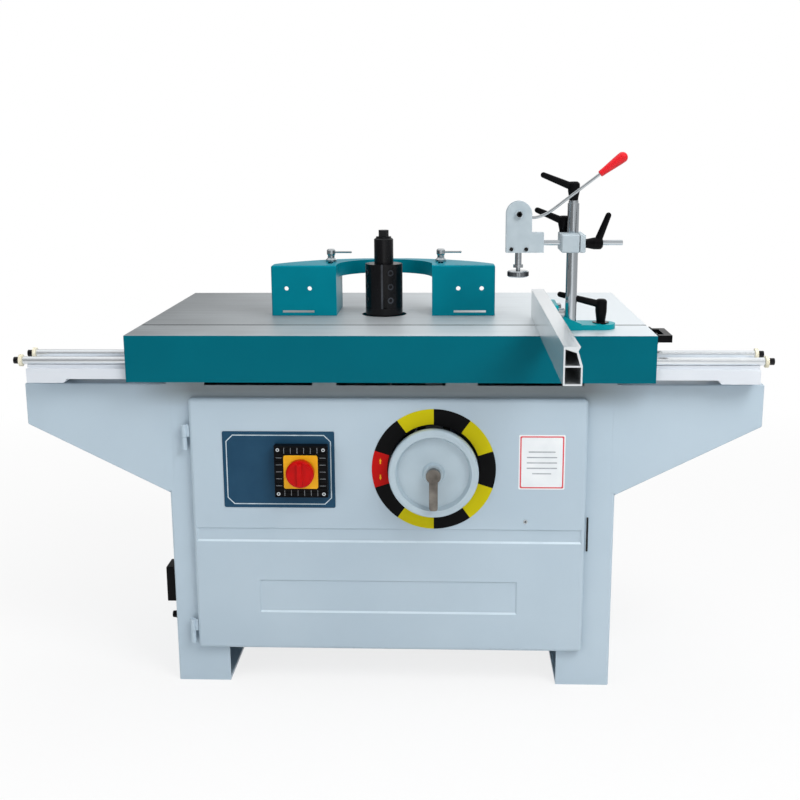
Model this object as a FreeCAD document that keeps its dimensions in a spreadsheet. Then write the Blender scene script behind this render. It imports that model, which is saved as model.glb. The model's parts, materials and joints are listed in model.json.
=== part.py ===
import FreeCAD, Part
import os
import re
import Sketcher

os.makedirs("parts", exist_ok=True)
doc = FreeCAD.newDocument("SpindleMoulder")

# Driving sizes, in millimetres and degrees
sizes = {
    # Clearances
    "running_fit": 0.05,
    "press_fit": 0.02,
    "face_gap": 0.3,
    "edge_break": 2,
    # Cabinet
    "cabinet_width": 1052,
    "cabinet_depth": 580,
    "cabinet_wall": 3,
    "cabinet_round": 6,
    "plinth_height": 90,
    "leg_width": 128,
    "foot_plate": 8,
    "anchor_inset_wide": 66,
    "anchor_inset_deep": 50,
    "anchor_radius": 7,
    "well_left": -355,
    "well_right": 160,
    "well_front": -110,
    "well_back": 155,
    "rear_margin": 76,
    "rear_lift": 20,
    "rear_drop": 52,
    "rear_sheet": 2,
    "rear_lap": 25,
    "rear_screw_radius": 3,
    "rear_screw_head": 6,
    "rear_screw_length": 12,
    # Wings beside the cabinet
    "wing_drop": 5,
    "wing_reach": 331,
    "wing_tip": 99,
    "wing_root": 266,
    "wing_depth": 140,
    "wing_wall": 3,
    "wing_round": 4,
    # Tables
    "table_width": 1200,
    "table_top": 870,
    "apron_height": 108,
    "apron_wall": 12,
    "table_plate": 22,
    "table_round": 2,
    "slide_overhang": 60,
    "slide_depth": 152,
    "table_split": 3,
    "main_depth": 602,
    "rib_thickness": 14,
    "rib_rear": 250,
    "side_rib_spread": 330,
    "side_rib_drop": 50,
    "pad_size": 40,
    "pad_height": 10,
    "pad_pitch": 315,
    "pad_middle": -50,
    "ring_outer": 95,
    "ring_inner": 56,
    "ring_height": 8,
    "ring_ledge": 10,
    # Rail and rods under the sliding table
    "rail_inset": 22,
    "rail_width": 122,
    "rail_height": 33,
    "rail_wall": 5,
    "rail_foot": 10,
    "rail_foot_inset": 35,
    "rail_foot_top": 60,
    "rail_foot_bottom": 40,
    "ridge_height": 8,
    "ridge_width": 8,
    "rod_radius": 9,
    "rod_overhang": 10,
    "rod_pitch": 92,
    "bumper_radius": 14,
    "bumper_width": 8,
    "rod_bolt_radius": 4,
    "rod_bolt_head": 8,
    "rod_bolt_head_width": 13,
    "rod_bolt_reach": 22,
    "bearing_length": 60,
    "bearing_width": 30,
    "slide_bearing_inset": 40,
    "bearing_lip": 7,
    # Push handle on the sliding table
    "handle_half": 8,
    "handle_span": 90,
    "handle_reach": 28,
    "handle_flange": 11,
    "handle_flange_width": 4,
    # Door
    "door_margin_left": 56,
    "door_margin_right": 69,
    "door_lift": 3,
    "door_drop": 37,
    "door_depth": 18,
    "door_gap": 2,
    "door_skin": 2,
    "door_round": 10,
    "door_lap": 25,
    "door_hole": 106,
    "recess_depth": 3,
    "band_rise": 274,
    "band_height": 35,
    "band_inset": 8,
    "panel_margin_left": 154,
    "panel_margin_right": 157,
    "panel_rise": 95,
    "panel_height": 83,
    "pull_drop": 4,
    "pull_length": 72,
    "pull_width": 6,
    "pull_depth": 1.2,
    "pull_inset": 11,
    # Hinges of the door
    "hinge_offset": 12,
    "hinge_radius": 6,
    "hinge_pin": 3,
    "hinge_length": 60,
    "hinge_margin_upper": 123,
    "hinge_margin_lower": 13,
    "leaf_thickness": 2,
    # Hazard ring round the handwheel
    "hazard_outer": 144.5,
    "hazard_thickness": 1,
    # Switch
    "switch_across": -206,
    "switch_drop": 1,
    "switch_base_size": 124,
    "switch_base_depth": 24,
    "switch_rib_count": 5,
    "switch_rib_width": 5,
    "switch_rib_depth": 2,
    "bezel_size": 80,
    "bezel_depth": 3,
    "knob_radius": 32.5,
    "knob_depth": 22,
    "knob_neck": 16,
    "knob_neck_depth": 3,
    "knob_shaft": 5,
    "knob_ridge_width": 12,
    "knob_ridge_depth": 6,
    # Handwheel, its shaft and the bevel gears
    "wheel_across": 102,
    "wheel_drop": 204,
    "wheel_radius": 100,
    "wheel_stand": 30,
    "wheel_half": 14,
    "wheel_rim": 14,
    "wheel_hub": 22,
    "wheel_web": 8,
    "wheel_round": 4,
    "wheel_dish": 3,
    "scallop_radius": 9,
    "scallop_sink": 3,
    "scallop_count": 16,
    "shaft_radius": 9,
    "shaft_proud": 4,
    "lever_hub": 17,
    "lever_hub_depth": 14,
    "lever_width": 20,
    "lever_depth": 9,
    "lever_drop": 82,
    "lever_rise": 10,
    "hanger_width": 40,
    "hanger_depth": 12,
    "hanger_setback": 14,
    "hanger_boss": 20,
    "gear_radius": 22,
    "gear_small": 8,
    "gear_gap": 0.3,
    "gear_tooth": 3,
    "gear_tooth_depth": 5,
    "gear_tooth_count": 18,
    "gear_hub": 12,
    "gear_back": 4,
    # Lift frame, columns and screw
    "screw_radius": 8,
    "journal_radius": 5,
    "frame_left": -150,
    "frame_right": 140,
    "frame_front": 118,
    "frame_plate": 15,
    "shelf_front": 65,
    "shelf_thickness": 12,
    "shelf_under_wheel": 60,
    "shelf_under_table": 80,
    "pillar_width": 36,
    "pillar_front": 40,
    "pillar_depth": 16,
    "pillar_cover": 16,
    "column_radius": 15,
    "column_pitch": 150,
    "column_back": 90,
    # Lift carriage, quill and motor
    "spindle_across": -27,
    "spindle_back": -10,
    "carriage_drop": 290,
    "carriage_height": 110,
    "carriage_wall": 10,
    "nut_rise": 75,
    "nut_height": 30,
    "nut_wall": 10,
    "thread_gap": 0.3,
    "quill_radius": 50,
    "quill_bore": 36,
    "quill_lip": 19,
    "quill_drop": 400,
    "quill_height": 270,
    "bearing_height": 30,
    "bearing_inset": 10,
    "motor_offset": 230,
    "motor_radius": 75,
    "motor_drop": 418,
    "motor_plate": 14,
    "motor_plate_half": 80,
    "motor_box_size": 70,
    "motor_box_depth": 40,
    "motor_box_height": 90,
    "motor_shaft": 12,
    "motor_edge": 12,
    "motor_sleeve": 24,
    "motor_box_drop": 42,
    "pulley_drop": 470,
    "pulley_height": 36,
    "pulley_lip": 3,
    "pulley_lip_height": 3,
    "spindle_pulley_radius": 40,
    "motor_pulley_radius": 60,
    "belt_thickness": 5,
    "belt_width": 28,
    # Spindle and cutter
    "spindle_radius": 15,
    "spindle_tail": 8,
    "nose_radius": 22,
    "flange_radius": 46.5,
    "flange_height": 18,
    "cutter_radius": 45,
    "cutter_height": 109,
    "knife_count": 4,
    "knife_thickness": 5,
    "knife_proud": 1.5,
    "gullet_width": 14,
    "gullet_depth": 9,
    "collar_radius": 24,
    "collar_height": 63,
    "collar_edge": 3,
    "bolt_across": 22,
    "bolt_height": 20,
    "bolt_washer": 19,
    "bolt_washer_height": 4,
    "bolt_shank": 6,
    "bolt_reach": 30,
    # Spindle guard
    "guard_reach_left": 282,
    "guard_reach_right": 275,
    "guard_ahead": 35,
    "guard_behind": 150,
    "guard_height": 125,
    "guard_wall": 8,
    "guard_round": 5,
    "throat_radius": 119,
    "throat_shift": 2,
    "guard_end": 35,
    "bridge_height": 34,
    "board_hole": 5.5,
    "board_pitch": 58,
    "board_up": 68,
    "board_inset_left": 67,
    "board_inset_right": 62,
    "foot_slot_length": 80,
    "foot_slot_rise": 7,
    "foot_slot_height": 6,
    "stud_radius": 6,
    "stud_spread": 140,
    "stud_behind": 60,
    "stud_seat": 20,
    "guard_forward": 10,
    "guard_backward": 40,
    "stud_slot": 13,
    "tommy_hub": 11,
    "tommy_height": 32,
    "tommy_bar": 2.5,
    "tommy_reach": 50,
    "tommy_up": 24,
    "tommy_ball": 3,
    "tommy_flare": 3,
    "tommy_foot": 5,
    "tommy_waist": 2,
    # Mitre bracket and cross-cut fence
    "fence_stand": 77,
    "fence_width": 34,
    "fence_height": 70,
    "fence_overhang": 543,
    "fence_length": 818,
    "fence_wall": 3,
    "fence_middle": 36,
    "fence_slope": 8,
    "fence_float": 0.4,
    "bracket_plate": 12,
    "bracket_ahead": 55,
    "bracket_behind": 76,
    "bracket_flange": 12,
    "bracket_height": 59,
    "bracket_end_radius": 37,
    "bracket_end_reach": 68,
    "bracket_end_behind": 24,
    "gusset_half": 17,
    "gusset_reach": 24,
    "gusset_rise": 3,
    "gusset_waist": 30,
    "mitre_swing": 17,
    "mitre_slot": 13,
    "fence_bolt_radius": 4,
    "fence_bolt_head": 11,
    "fence_bolt_head_width": 14,
    "fence_bolt_up": 42,
    "fence_bolt_pitch": 88,
    "fence_bolt_behind": 15,
    # Base lever
    "mitre_reach": 76,
    "mitre_bearing": 18.4,
    "hub_radius": 12,
    "hub_foot": 9,
    "hub_edge": 4,
    "base_hub_height": 54,
    "base_arm_length": 98,
    "base_arm_lean": -76,
    "base_stud": 5,
    "base_stud_reach": 20,
    "arm_root": 7.5,
    "arm_tip": 5.2,
    # Clamp post and its levers
    "post_inset": 185,
    "post_setback": 90,
    "post_radius": 13,
    "post_height": 287,
    "post_spigot": 10,
    "post_cap_height": 6,
    "post_cap_radius": 11,
    "post_hub_height": 40,
    "post_arm_length": 74,
    "post_arm_lean": -68,
    "post_pin": 4,
    "post_pin_reach": 30,
    "block_reach_left": 30,
    "block_reach_right": 23,
    "block_drop": 106,
    "block_height": 40,
    "block_ahead": 62,
    "block_behind": 38,
    "block_round": 3,
    "slit_width": 2,
    "slit_shift": 9,
    "side_lever_ahead": 51,
    "side_hub_height": 37,
    "side_arm_length": 66,
    "side_arm_tilt": 21,
    "lever_screw": 3,
    "lever_screw_reach": 12,
    "rear_lever_shift": 18,
    "rear_lever_behind": 24,
    "rear_hub_height": 35,
    "rear_arm_length": 66,
    "rear_arm_lean": -67,
    # Clamp arm, head, cam and plunger
    "arm_rod_radius": 6,
    "arm_rod_ahead": 30,
    "arm_rod_tail": 85,
    "arm_rod_seat": 25,
    "head_width": 57,
    "head_neck_width": 27,
    "head_gap": 38,
    "head_lift": -1,
    "head_neck_height": 44,
    "head_base_height": 30,
    "head_half": 16,
    "head_plate": 6,
    "cam_rise": 85,
    "cam_radius": 16,
    "cam_throw": 8,
    "cam_angle": 30,
    "cam_half": 6,
    "cam_pin": 5,
    "cam_pin_head": 9,
    "cam_pin_head_width": 5,
    "cam_lever_radius": 3.5,
    "cam_neck_rise": -8,
    "cam_neck_reach": 52,
    "cam_lever_length": 176,
    "cam_lever_lean": 53,
    "grip_start": 156,
    "grip_length": 60,
    "grip_thin": 8,
    "grip_thick": 12,
    "plunger_radius": 7.5,
    "plunger_collar": 11,
    "plunger_collar_height": 7,
    "plunger_drop": 34,
    "plunger_neck": 5,
    "plunger_neck_height": 7,
    "plunger_foot_radius": 23.5,
    "plunger_foot_height": 14,
    "cam_rest_gap": 0.4,
    # Power inlet on the left side
    "inlet_depth": 24,
    "inlet_setback": 18,
    "inlet_width": 60,
    "inlet_rise": 108,
    "inlet_height": 88,
    "gland_radius": 11,
    "gland_reach": 20,
    "gland_bore": 5,
    "gland_taper": 3,
    "gland_drop": 46,
}

# Places that follow from the driving sizes
places = {
    "cabinet_height": "table_top - apron_height - pad_height",
    "anchor_span_wide": "cabinet_width - 2 * anchor_inset_wide",
    "anchor_span_deep": "cabinet_depth - 2 * anchor_inset_deep",
    "rear_width": "cabinet_width - 2 * rear_margin",
    "rear_low": "plinth_height + rear_lift",
    "rear_high": "cabinet_height - rear_drop",
    "slide_front": "-cabinet_depth / 2 - slide_overhang",
    "rail_length": "cabinet_width + 2 * (wing_reach - rail_inset)",
    "rail_foot_spread": "rail_length / 2 - rail_foot_inset",
    "rod_length": "rail_length + 2 * rod_overhang",
    "bearing_spread": "table_width / 2 - slide_bearing_inset",
    "door_left": "door_margin_left - cabinet_width / 2",
    "door_right": "cabinet_width / 2 - door_margin_right",
    "door_low": "plinth_height + door_lift",
    "door_high": "cabinet_height - door_drop",
    "band_low": "door_low + band_rise",
    "band_high": "band_low + band_height",
    "panel_left": "door_left + panel_margin_left",
    "panel_right": "door_right - panel_margin_right",
    "panel_low": "door_low + panel_rise",
    "panel_high": "panel_low + panel_height",
    "pull_low": "band_low - pull_drop",
    "pull_high": "pull_low + pull_length",
    "hinge_upper": "door_high - hinge_margin_upper",
    "hinge_lower": "door_low + hinge_margin_lower",
    "switch_up": "wheel_up - switch_drop",
    "wheel_up": "cabinet_height - wheel_drop",
    "wheel_plane": "-cabinet_depth / 2 - door_gap - door_depth - wheel_stand",
    "hanger_front": "hanger_setback - cabinet_depth / 2",
    "shelf_low": "wheel_up - shelf_under_wheel",
    "shelf_high": "table_top - shelf_under_table",
    "carriage_low": "table_top - carriage_drop",
    "nut_low": "carriage_low + nut_rise",
    "quill_low": "table_top - quill_drop",
    "motor_low": "table_top - motor_drop",
    "pulley_low": "table_top - pulley_drop",
    "spindle_low": "pulley_low - spindle_tail",
    "guard_left": "throat_across - guard_reach_left",
    "guard_right": "throat_across + guard_reach_right",
    "guard_front": "spindle_back - guard_ahead",
    "guard_back": "spindle_back + guard_behind",
    "throat_across": "spindle_across + throat_shift",
    "board_left": "guard_left + board_inset_left",
    "board_right": "guard_right - board_inset_right",
    "stud_back": "spindle_back + stud_behind",
    "fence_left": "post_across - fence_stand",
    "fence_front": "slide_front - fence_overhang",
    "fence_back": "fence_front + fence_length",
    "bracket_front": "post_back - bracket_ahead",
    "bracket_back": "post_back + bracket_behind",
    "bracket_end_across": "post_across + bracket_end_reach",
    "bracket_end_back": "post_back + bracket_end_behind",
    "fence_bolt_middle": "post_back + fence_bolt_behind",
    "post_across": "table_width / 2 - post_inset",
    "post_back": "slide_front + post_setback",
    "post_top": "table_top + post_height",
    "block_left": "post_across - block_reach_left",
    "block_right": "post_across + block_reach_right",
    "block_low": "post_top - block_drop",
    "block_front": "post_back - block_ahead",
    "block_back": "post_back + block_behind",
    "slit_across": "post_across + slit_shift",
    "side_lever_back": "post_back - side_lever_ahead",
    "rear_lever_across": "post_across - rear_lever_shift",
    "rear_lever_back": "post_back + rear_lever_behind",
    "arm_rod_front": "post_back - arm_rod_ahead",
    "arm_rod_right": "block_right + arm_rod_tail",
    "head_neck_right": "block_left - head_gap",
    "head_right": "head_neck_right - head_neck_width",
    "head_left": "head_right - head_width",
    "head_low": "block_low + head_lift",
    "cam_up": "head_low + cam_rise",
    "plunger_low": "head_low - plunger_drop",
    "inlet_front": "inlet_setback - cabinet_depth / 2",
    "inlet_low": "plinth_height + inlet_rise",
    "gland_up": "inlet_low - gland_drop",
}

sheet = doc.addObject("Spreadsheet::Sheet", "Sizes")
for row, (alias, number) in enumerate(sizes.items(), start=1):
    sheet.set(f"A{row}", alias)
    sheet.set(f"B{row}", str(number))
    sheet.setAlias(f"B{row}", alias)
doc.recompute()

parts = {}
alias_word = re.compile(r"[a-z]+(?:_[a-z]+)*")
x_axis = FreeCAD.Vector(1, 0, 0)
y_axis = FreeCAD.Vector(0, 1, 0)
z_axis = FreeCAD.Vector(0, 0, 1)
facing = {
    "x": FreeCAD.Rotation(y_axis, 90),
    "-x": FreeCAD.Rotation(y_axis, -90),
    "y": FreeCAD.Rotation(x_axis, -90),
    "-y": FreeCAD.Rotation(x_axis, 90),
    "z": FreeCAD.Rotation(),
    "-z": FreeCAD.Rotation(x_axis, 180),
}


# Writes a formula of sizes and places as the document reads it
def expression(text):
    def read(found):
        word = found[0]
        if word in places:
            return f"({expression(places[word])})"
        return f"Sizes.{word}" if word in sizes else word

    return alias_word.sub(read, str(text))


def bind(item, name, text):
    item.setExpression(name, expression(text))


def value(text):
    return float(sheet.evalExpression(expression(text)))


def node(name, item):
    item.Label = name
    parts[name] = item
    return item


def place(item, at, direction="z"):
    item.Placement = FreeCAD.Placement(FreeCAD.Vector(), facing[direction])
    for axis, text in zip("xyz", at):
        bind(item, f"Placement.Base.{axis}", text)


def box(name, across, deep, high):
    item = doc.addObject("Part::Box", name)
    for prop, (low, top) in zip(("Length", "Width", "Height"), (across, deep, high)):
        bind(item, prop, f"({top}) - ({low})")
    place(item, (across[0], deep[0], high[0]))
    return item


def cylinder(name, radius, at, length, direction="z"):
    item = doc.addObject("Part::Cylinder", name)
    bind(item, "Radius", radius)
    bind(item, "Height", length)
    place(item, at, direction)
    return item


def ball(name, radius, at):
    item = doc.addObject("Part::Sphere", name)
    bind(item, "Radius", radius)
    place(item, at)
    return item


def cone(name, radius_start, radius_end, at, length, direction="z"):
    item = doc.addObject("Part::Cone", name)
    bind(item, "Radius1", radius_start)
    bind(item, "Radius2", radius_end)
    bind(item, "Height", length)
    place(item, at, direction)
    return item


# Leans a rod about an axis, by an angle away from straight up
def lean(item, axis, angle):
    item.Placement = FreeCAD.Placement(FreeCAD.Vector(), FreeCAD.Rotation(axis, 1))
    bind(item, "Placement.Rotation.Angle", angle)
    return item


def leaning_rod(name, radius, at, length, axis, angle):
    item = cylinder(name, radius, at, length)
    return lean(item, axis, angle)


def fuse(name, shapes):
    item = doc.addObject("Part::MultiFuse", name)
    item.Shapes = shapes
    return item


def cut(name, base, tools):
    item = doc.addObject("Part::Cut", name)
    item.Base = base
    item.Tool = tools[0] if len(tools) == 1 else fuse(f"{name}_tools", tools)
    return item


def common(name, base, tool):
    item = doc.addObject("Part::Common", name)
    item.Base = base
    item.Tool = tool
    return item


def group(name, solids):
    item = doc.addObject("Part::Compound", name)
    item.Links = solids
    return item


def origin_plane(body, role):
    return next(feature for feature in body.Origin.OriginFeatures if feature.Role == role)


# Draws a closed outline whose corners are bound to the sheet
def outline(body, name, plane, points, offset="0"):
    sketch = body.newObject("Sketcher::SketchObject", name)
    sketch.AttachmentSupport = [(origin_plane(body, plane), "")]
    sketch.MapMode = "FlatFace"
    bind(sketch, "AttachmentOffset.Base.z", offset)
    corners = [FreeCAD.Vector(value(u), value(v), 0) for u, v in points]
    count = len(points)
    for index in range(count):
        sketch.addGeometry(Part.LineSegment(corners[index], corners[(index + 1) % count]))
    for index in range(count):
        sketch.addConstraint(Sketcher.Constraint("Coincident", index, 2, (index + 1) % count, 1))
    for index, point in enumerate(points):
        for kind, text in zip(("DistanceX", "DistanceY"), point):
            number = sketch.addConstraint(Sketcher.Constraint(kind, -1, 1, index, 1, value(text)))
            bind(sketch, f"Constraints[{number}]", text)
    return sketch


# Pads an outline from low to high along X, Y or Z
def prism(name, plane, points, low, high):
    body = doc.addObject("PartDesign::Body", name)
    start = f"-({high})" if plane == "XZ_Plane" else low
    sketch = outline(body, f"{name}_outline", plane, points, start)
    pad = body.newObject("PartDesign::Pad", f"{name}_pad")
    pad.Profile = sketch
    bind(pad, "Length", f"({high}) - ({low})")
    doc.recompute()
    return body


def rectangle(across, high):
    return [(across[0], high[0]), (across[1], high[0]), (across[1], high[1]), (across[0], high[1])]


# Rounds the edges of a body that a test picks out
def soften(body, radius, wanted):
    base = body.Tip
    picked = [f"Edge{n}" for n, edge in enumerate(base.Shape.Edges, start=1) if wanted(edge)]
    fillet = body.newObject("PartDesign::Fillet", f"{body.Name}_round")
    fillet.Base = (base, picked)
    bind(fillet, "Radius", radius)
    doc.recompute()
    return body


def runs_along(edge, axis):
    span = edge.Vertexes[-1].Point - edge.Vertexes[0].Point
    return span.Length > 0 and span.cross(axis).Length < span.Length * axis.Length / 10


def upright(edge):
    return runs_along(edge, z_axis)


# A slab with its upright corners and its top edges rounded
def rounded_slab(name, across, deep, low, top, radius):
    def wanted(edge):
        high = all(vertex.Z > value(f"({low} + {top}) / 2") for vertex in edge.Vertexes)
        return high or upright(edge)

    return soften(prism(name, "XY_Plane", rectangle(across, deep), low, top), radius, wanted)


# Turns a profile of radius and height pairs about an axis
def turned(name, profile, at, direction="z"):
    body = doc.addObject("PartDesign::Body", name)
    sketch = outline(body, f"{name}_profile", "XZ_Plane", profile)
    revolution = body.newObject("PartDesign::Revolution", f"{name}_turn")
    revolution.Profile = sketch
    revolution.ReferenceAxis = (sketch, ["V_Axis"])
    revolution.Angle = 360
    place(body, at, direction)
    doc.recompute()
    return body


# Cuts a ring of equal pockets round a turned body, from one height down to another
def ring_of_pockets(body, points, top, depth, count):
    name = body.Name
    sketch = outline(body, f"{name}_gap", "XY_Plane", points, top)
    pocket = body.newObject("PartDesign::Pocket", f"{name}_pocket")
    pocket.Profile = sketch
    bind(pocket, "Length", depth)
    doc.recompute()
    pattern = body.newObject("PartDesign::PolarPattern", f"{name}_ring")
    pattern.Originals = [pocket]
    pattern.Axis = (sketch, ["N_Axis"])
    pattern.Angle = 360
    bind(pattern, "Occurrences", count)
    body.Tip = pattern
    doc.recompute()
    return body


# Shared levels and faces
cabinet_half = "cabinet_width / 2"
cabinet_front = "(-cabinet_depth / 2)"
cabinet_back = "(cabinet_depth / 2)"
wing_top = "(cabinet_height - wing_drop)"
table_half = "table_width / 2"
plate_under = "(table_top - table_plate)"
apron_low = "(table_top - apron_height)"
slide_back = "(slide_front + slide_depth)"
slide_middle = "(slide_front + slide_depth / 2)"
main_front = f"({slide_back} + table_split)"
main_back = f"({main_front} + main_depth)"
rail_low = f"({wing_top} + rail_foot)"
rail_top = f"({rail_low} + rail_height)"
rod_up = f"({rail_top} + ridge_height + rod_radius)"
door_back = f"({cabinet_front} - door_gap)"
door_face = f"({door_back} - door_depth)"
hinge_across = "(door_left - hinge_offset)"
hinge_deep = f"({door_face} + hinge_radius)"
guard_low = "(table_top + face_gap)"
guard_top = f"({guard_low} + guard_height)"
throat_left = "(throat_across - throat_radius)"
throat_right = "(throat_across + throat_radius)"
column_places = ["spindle_across - column_pitch / 2", "spindle_across + column_pitch / 2"]
motor_across = "(spindle_across - motor_offset)"
carriage_top = "(carriage_low + carriage_height)"
fence_low = "(table_top + fence_float)"
fence_right = "(fence_left + fence_width)"
base_lever_across = "(post_across + mitre_reach * cos(mitre_bearing))"
base_lever_back = "(post_back + mitre_reach * sin(mitre_bearing))"
sides = [("left", "-"), ("right", "")]


def build_cabinet():
    wall = "cabinet_wall"
    outer = prism("cabinet_outer", "XY_Plane",
                  rectangle((f"-{cabinet_half}", cabinet_half),
                            (cabinet_front, cabinet_back)), "0", "cabinet_height")
    soften(outer, "cabinet_round", upright)
    inside_deep = (f"{cabinet_front} + {wall}", f"{cabinet_back} - {wall}")
    room = box("cabinet_room", (f"-{cabinet_half} + {wall}", f"{cabinet_half} - {wall}"), inside_deep,
               (f"plinth_height + {wall}", f"cabinet_height - {wall}"))
    gap_between_legs = box("leg_gap", (f"-{cabinet_half} + leg_width", f"{cabinet_half} - leg_width"),
                           (f"{cabinet_front} - {wall}", f"{cabinet_back} + {wall}"), (f"-{wall}",
                                                                                       "plinth_height"))
    left_leg = box("left_leg_hollow", (f"-{cabinet_half} + {wall}", f"-{cabinet_half} + leg_width + {wall}"),
                   inside_deep, ("foot_plate", "plinth_height"))
    right_leg = box("right_leg_hollow", (f"{cabinet_half} - leg_width - {wall}", f"{cabinet_half} - {wall}"),
                    inside_deep, ("foot_plate", "plinth_height"))
    door_way = box("door_way", ("door_left + door_lap", "door_right - door_lap"),
                   (f"{cabinet_front} - {wall}", f"{cabinet_front} + 2 * {wall}"),
                   ("door_low + door_lap", "door_high - door_lap"))
    rear_way = box("rear_way", ("-rear_width / 2 + 2 * rear_lap", "rear_width / 2 - 2 * rear_lap"),
                   (f"{cabinet_back} - 2 * {wall}", f"{cabinet_back} + {wall}"),
                   ("rear_low + 2 * rear_lap", "rear_high - 2 * rear_lap"))
    lift_well = box("lift_well", ("well_left", "well_right"), ("well_front", "well_back"),
                    (f"cabinet_height - 2 * {wall}", f"cabinet_height + {wall}"))
    anchors = []
    for side, sign in sides:
        for row, row_sign in (("front", "-"), ("rear", "")):
            at = (f"{sign}anchor_span_wide / 2", f"{row_sign}anchor_span_deep / 2", "-foot_plate")
            anchors.append(cylinder(f"anchor_{side}_{row}", "anchor_radius", at, "3 * foot_plate"))
    screw_holes = [
        cylinder(f"rear_hole_{index}", "rear_screw_radius + running_fit", at, "4 * cabinet_wall", "-y")
        for index, at in enumerate(rear_screw_places(f"{cabinet_back} + cabinet_wall"))
    ]
    tools = [room, gap_between_legs, left_leg, right_leg, door_way, rear_way,
             lift_well] + anchors + screw_holes
    node("cabinet_shell", cut("cabinet_shell", outer, tools))


def rear_screw_places(deep):
    edge = "rear_width / 2 - rear_lap / 2"
    low = "rear_low + rear_lap / 2"
    high = "rear_high - rear_lap / 2"
    middle = "(rear_low + rear_high) / 2"
    return [(f"{sign}({edge})", deep, up) for sign in ("-", "") for up in (low, middle, high)]


def build_rear_panel():
    outside = f"{cabinet_back} + rear_sheet"
    sheet_metal = box("rear_sheet_metal", ("-rear_width / 2", "rear_width / 2"), (cabinet_back, outside),
                      ("rear_low", "rear_high"))
    holes = []
    screws = []
    for index, at in enumerate(rear_screw_places(outside)):
        holes.append(cylinder(f"panel_hole_{index}", "rear_screw_radius + running_fit", at,
                              "2 * rear_sheet", "-y"))
        profile = [("0", "-rear_screw_length"), ("rear_screw_radius", "-rear_screw_length"),
                   ("rear_screw_radius", "0"), ("rear_screw_head", "0"), ("rear_screw_head",
                                                                          "rear_screw_radius"),
                   ("0", "rear_screw_radius")]
        screws.append(turned(f"panel_screw_{index}", profile, at, "y"))
    node("rear_panel", cut("rear_panel", sheet_metal, holes))
    node("panel_screws", group("panel_screws", screws))


def build_wings():
    def at_tip_or_front(edge):
        past_root = [abs(vertex.X) > value(cabinet_half) + value("wing_wall") for vertex in edge.Vertexes]
        front = all(vertex.Y < value(cabinet_front) + value("wing_wall") for vertex in edge.Vertexes)
        return all(past_root) or (any(past_root) and front)

    for side, sign in sides:
        root = f"{sign}({cabinet_half})"
        tip = f"{sign}({cabinet_half} + wing_reach)"
        inner_root = f"{sign}({cabinet_half} + wing_wall)"
        inner_tip = f"{sign}({cabinet_half} + wing_reach - wing_wall)"
        outer = prism(f"{side}_wing_outer", "XZ_Plane",
                      [(root, wing_top), (tip, wing_top), (tip, f"{wing_top} - wing_tip"),
                       (root, f"{wing_top} - wing_root")],
                      cabinet_front, f"{cabinet_front} + wing_depth")
        soften(outer, "wing_round", at_tip_or_front)
        hollow = prism(f"{side}_wing_hollow", "XZ_Plane",
                       [(inner_root, f"{wing_top} - wing_wall"), (inner_tip, f"{wing_top} - wing_wall"),
                        (inner_tip, f"{wing_top} - wing_tip + wing_wall"),
                        (inner_root, f"{wing_top} - wing_root + 2 * wing_wall")],
                       f"{cabinet_front} + wing_wall", f"{cabinet_front} + wing_depth + wing_wall")
        node(f"{side}_wing", cut(f"{side}_wing", outer, [hollow]))


def build_main_table():
    across = (f"-{table_half}", table_half)
    outer = rounded_slab("main_outer", across, (main_front, main_back), apron_low, "table_top", "table_round")
    inner_across = (f"-{table_half} + apron_wall", f"{table_half} - apron_wall")
    inner_deep = (f"{main_front} + apron_wall", f"{main_back} - apron_wall")
    hollow = box("main_hollow", inner_across, inner_deep, (f"{apron_low} - apron_wall", plate_under))
    rear_rib = box("rear_rib", inner_across, ("rib_rear - rib_thickness / 2", "rib_rear + rib_thickness / 2"),
                   (apron_low, plate_under))
    ribs = [rear_rib]
    for side, sign in sides:
        middle = f"{sign}side_rib_spread"
        ribs.append(box(f"{side}_rib", (f"{middle} - rib_thickness / 2", f"{middle} + rib_thickness / 2"),
                        inner_deep, (f"{plate_under} - side_rib_drop", plate_under)))
    casting = fuse("main_casting", [cut("main_shell", outer, [hollow])] + ribs)
    spindle_at = ("spindle_across", "spindle_back")
    seat = cylinder("ring_seat", "ring_outer", (*spindle_at, "table_top - ring_height"), "2 * ring_height")
    opening = cylinder("ring_opening", "ring_outer - ring_ledge",
                       (*spindle_at, f"{plate_under} - table_plate"),
                       "3 * table_plate")
    stud_holes = [
        cylinder(f"{side}_stud_hole", "stud_radius + running_fit",
                 (f"throat_across {sign or '+'} stud_spread", "stud_back",
                  "table_top - stud_seat - running_fit"),
                 "2 * stud_seat")
        for side, sign in sides
    ]
    node("main_table", cut("main_table", casting, [seat, opening] + stud_holes))

    ring_profile = [("ring_inner", "0"), ("ring_outer - running_fit", "0"),
                    ("ring_outer - running_fit", "ring_height"), ("ring_inner", "ring_height")]
    node("table_ring", turned("table_ring", ring_profile, (*spindle_at, "table_top - ring_height")))

    pads = []
    rows = [("front", f"{main_front} + pad_size / 2"), ("rear", "rib_rear")]
    for row, deep in rows:
        for step in (-1, 0, 1):
            middle = f"pad_middle + {step} * pad_pitch"
            pads.append(box(f"pad_{row}_{step + 1}", (f"{middle} - pad_size / 2", f"{middle} + pad_size / 2"),
                            (f"{deep} - pad_size / 2", f"{deep} + pad_size / 2"), ("cabinet_height",
                                                                                   apron_low)))
    node("table_pads", group("table_pads", pads))


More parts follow.
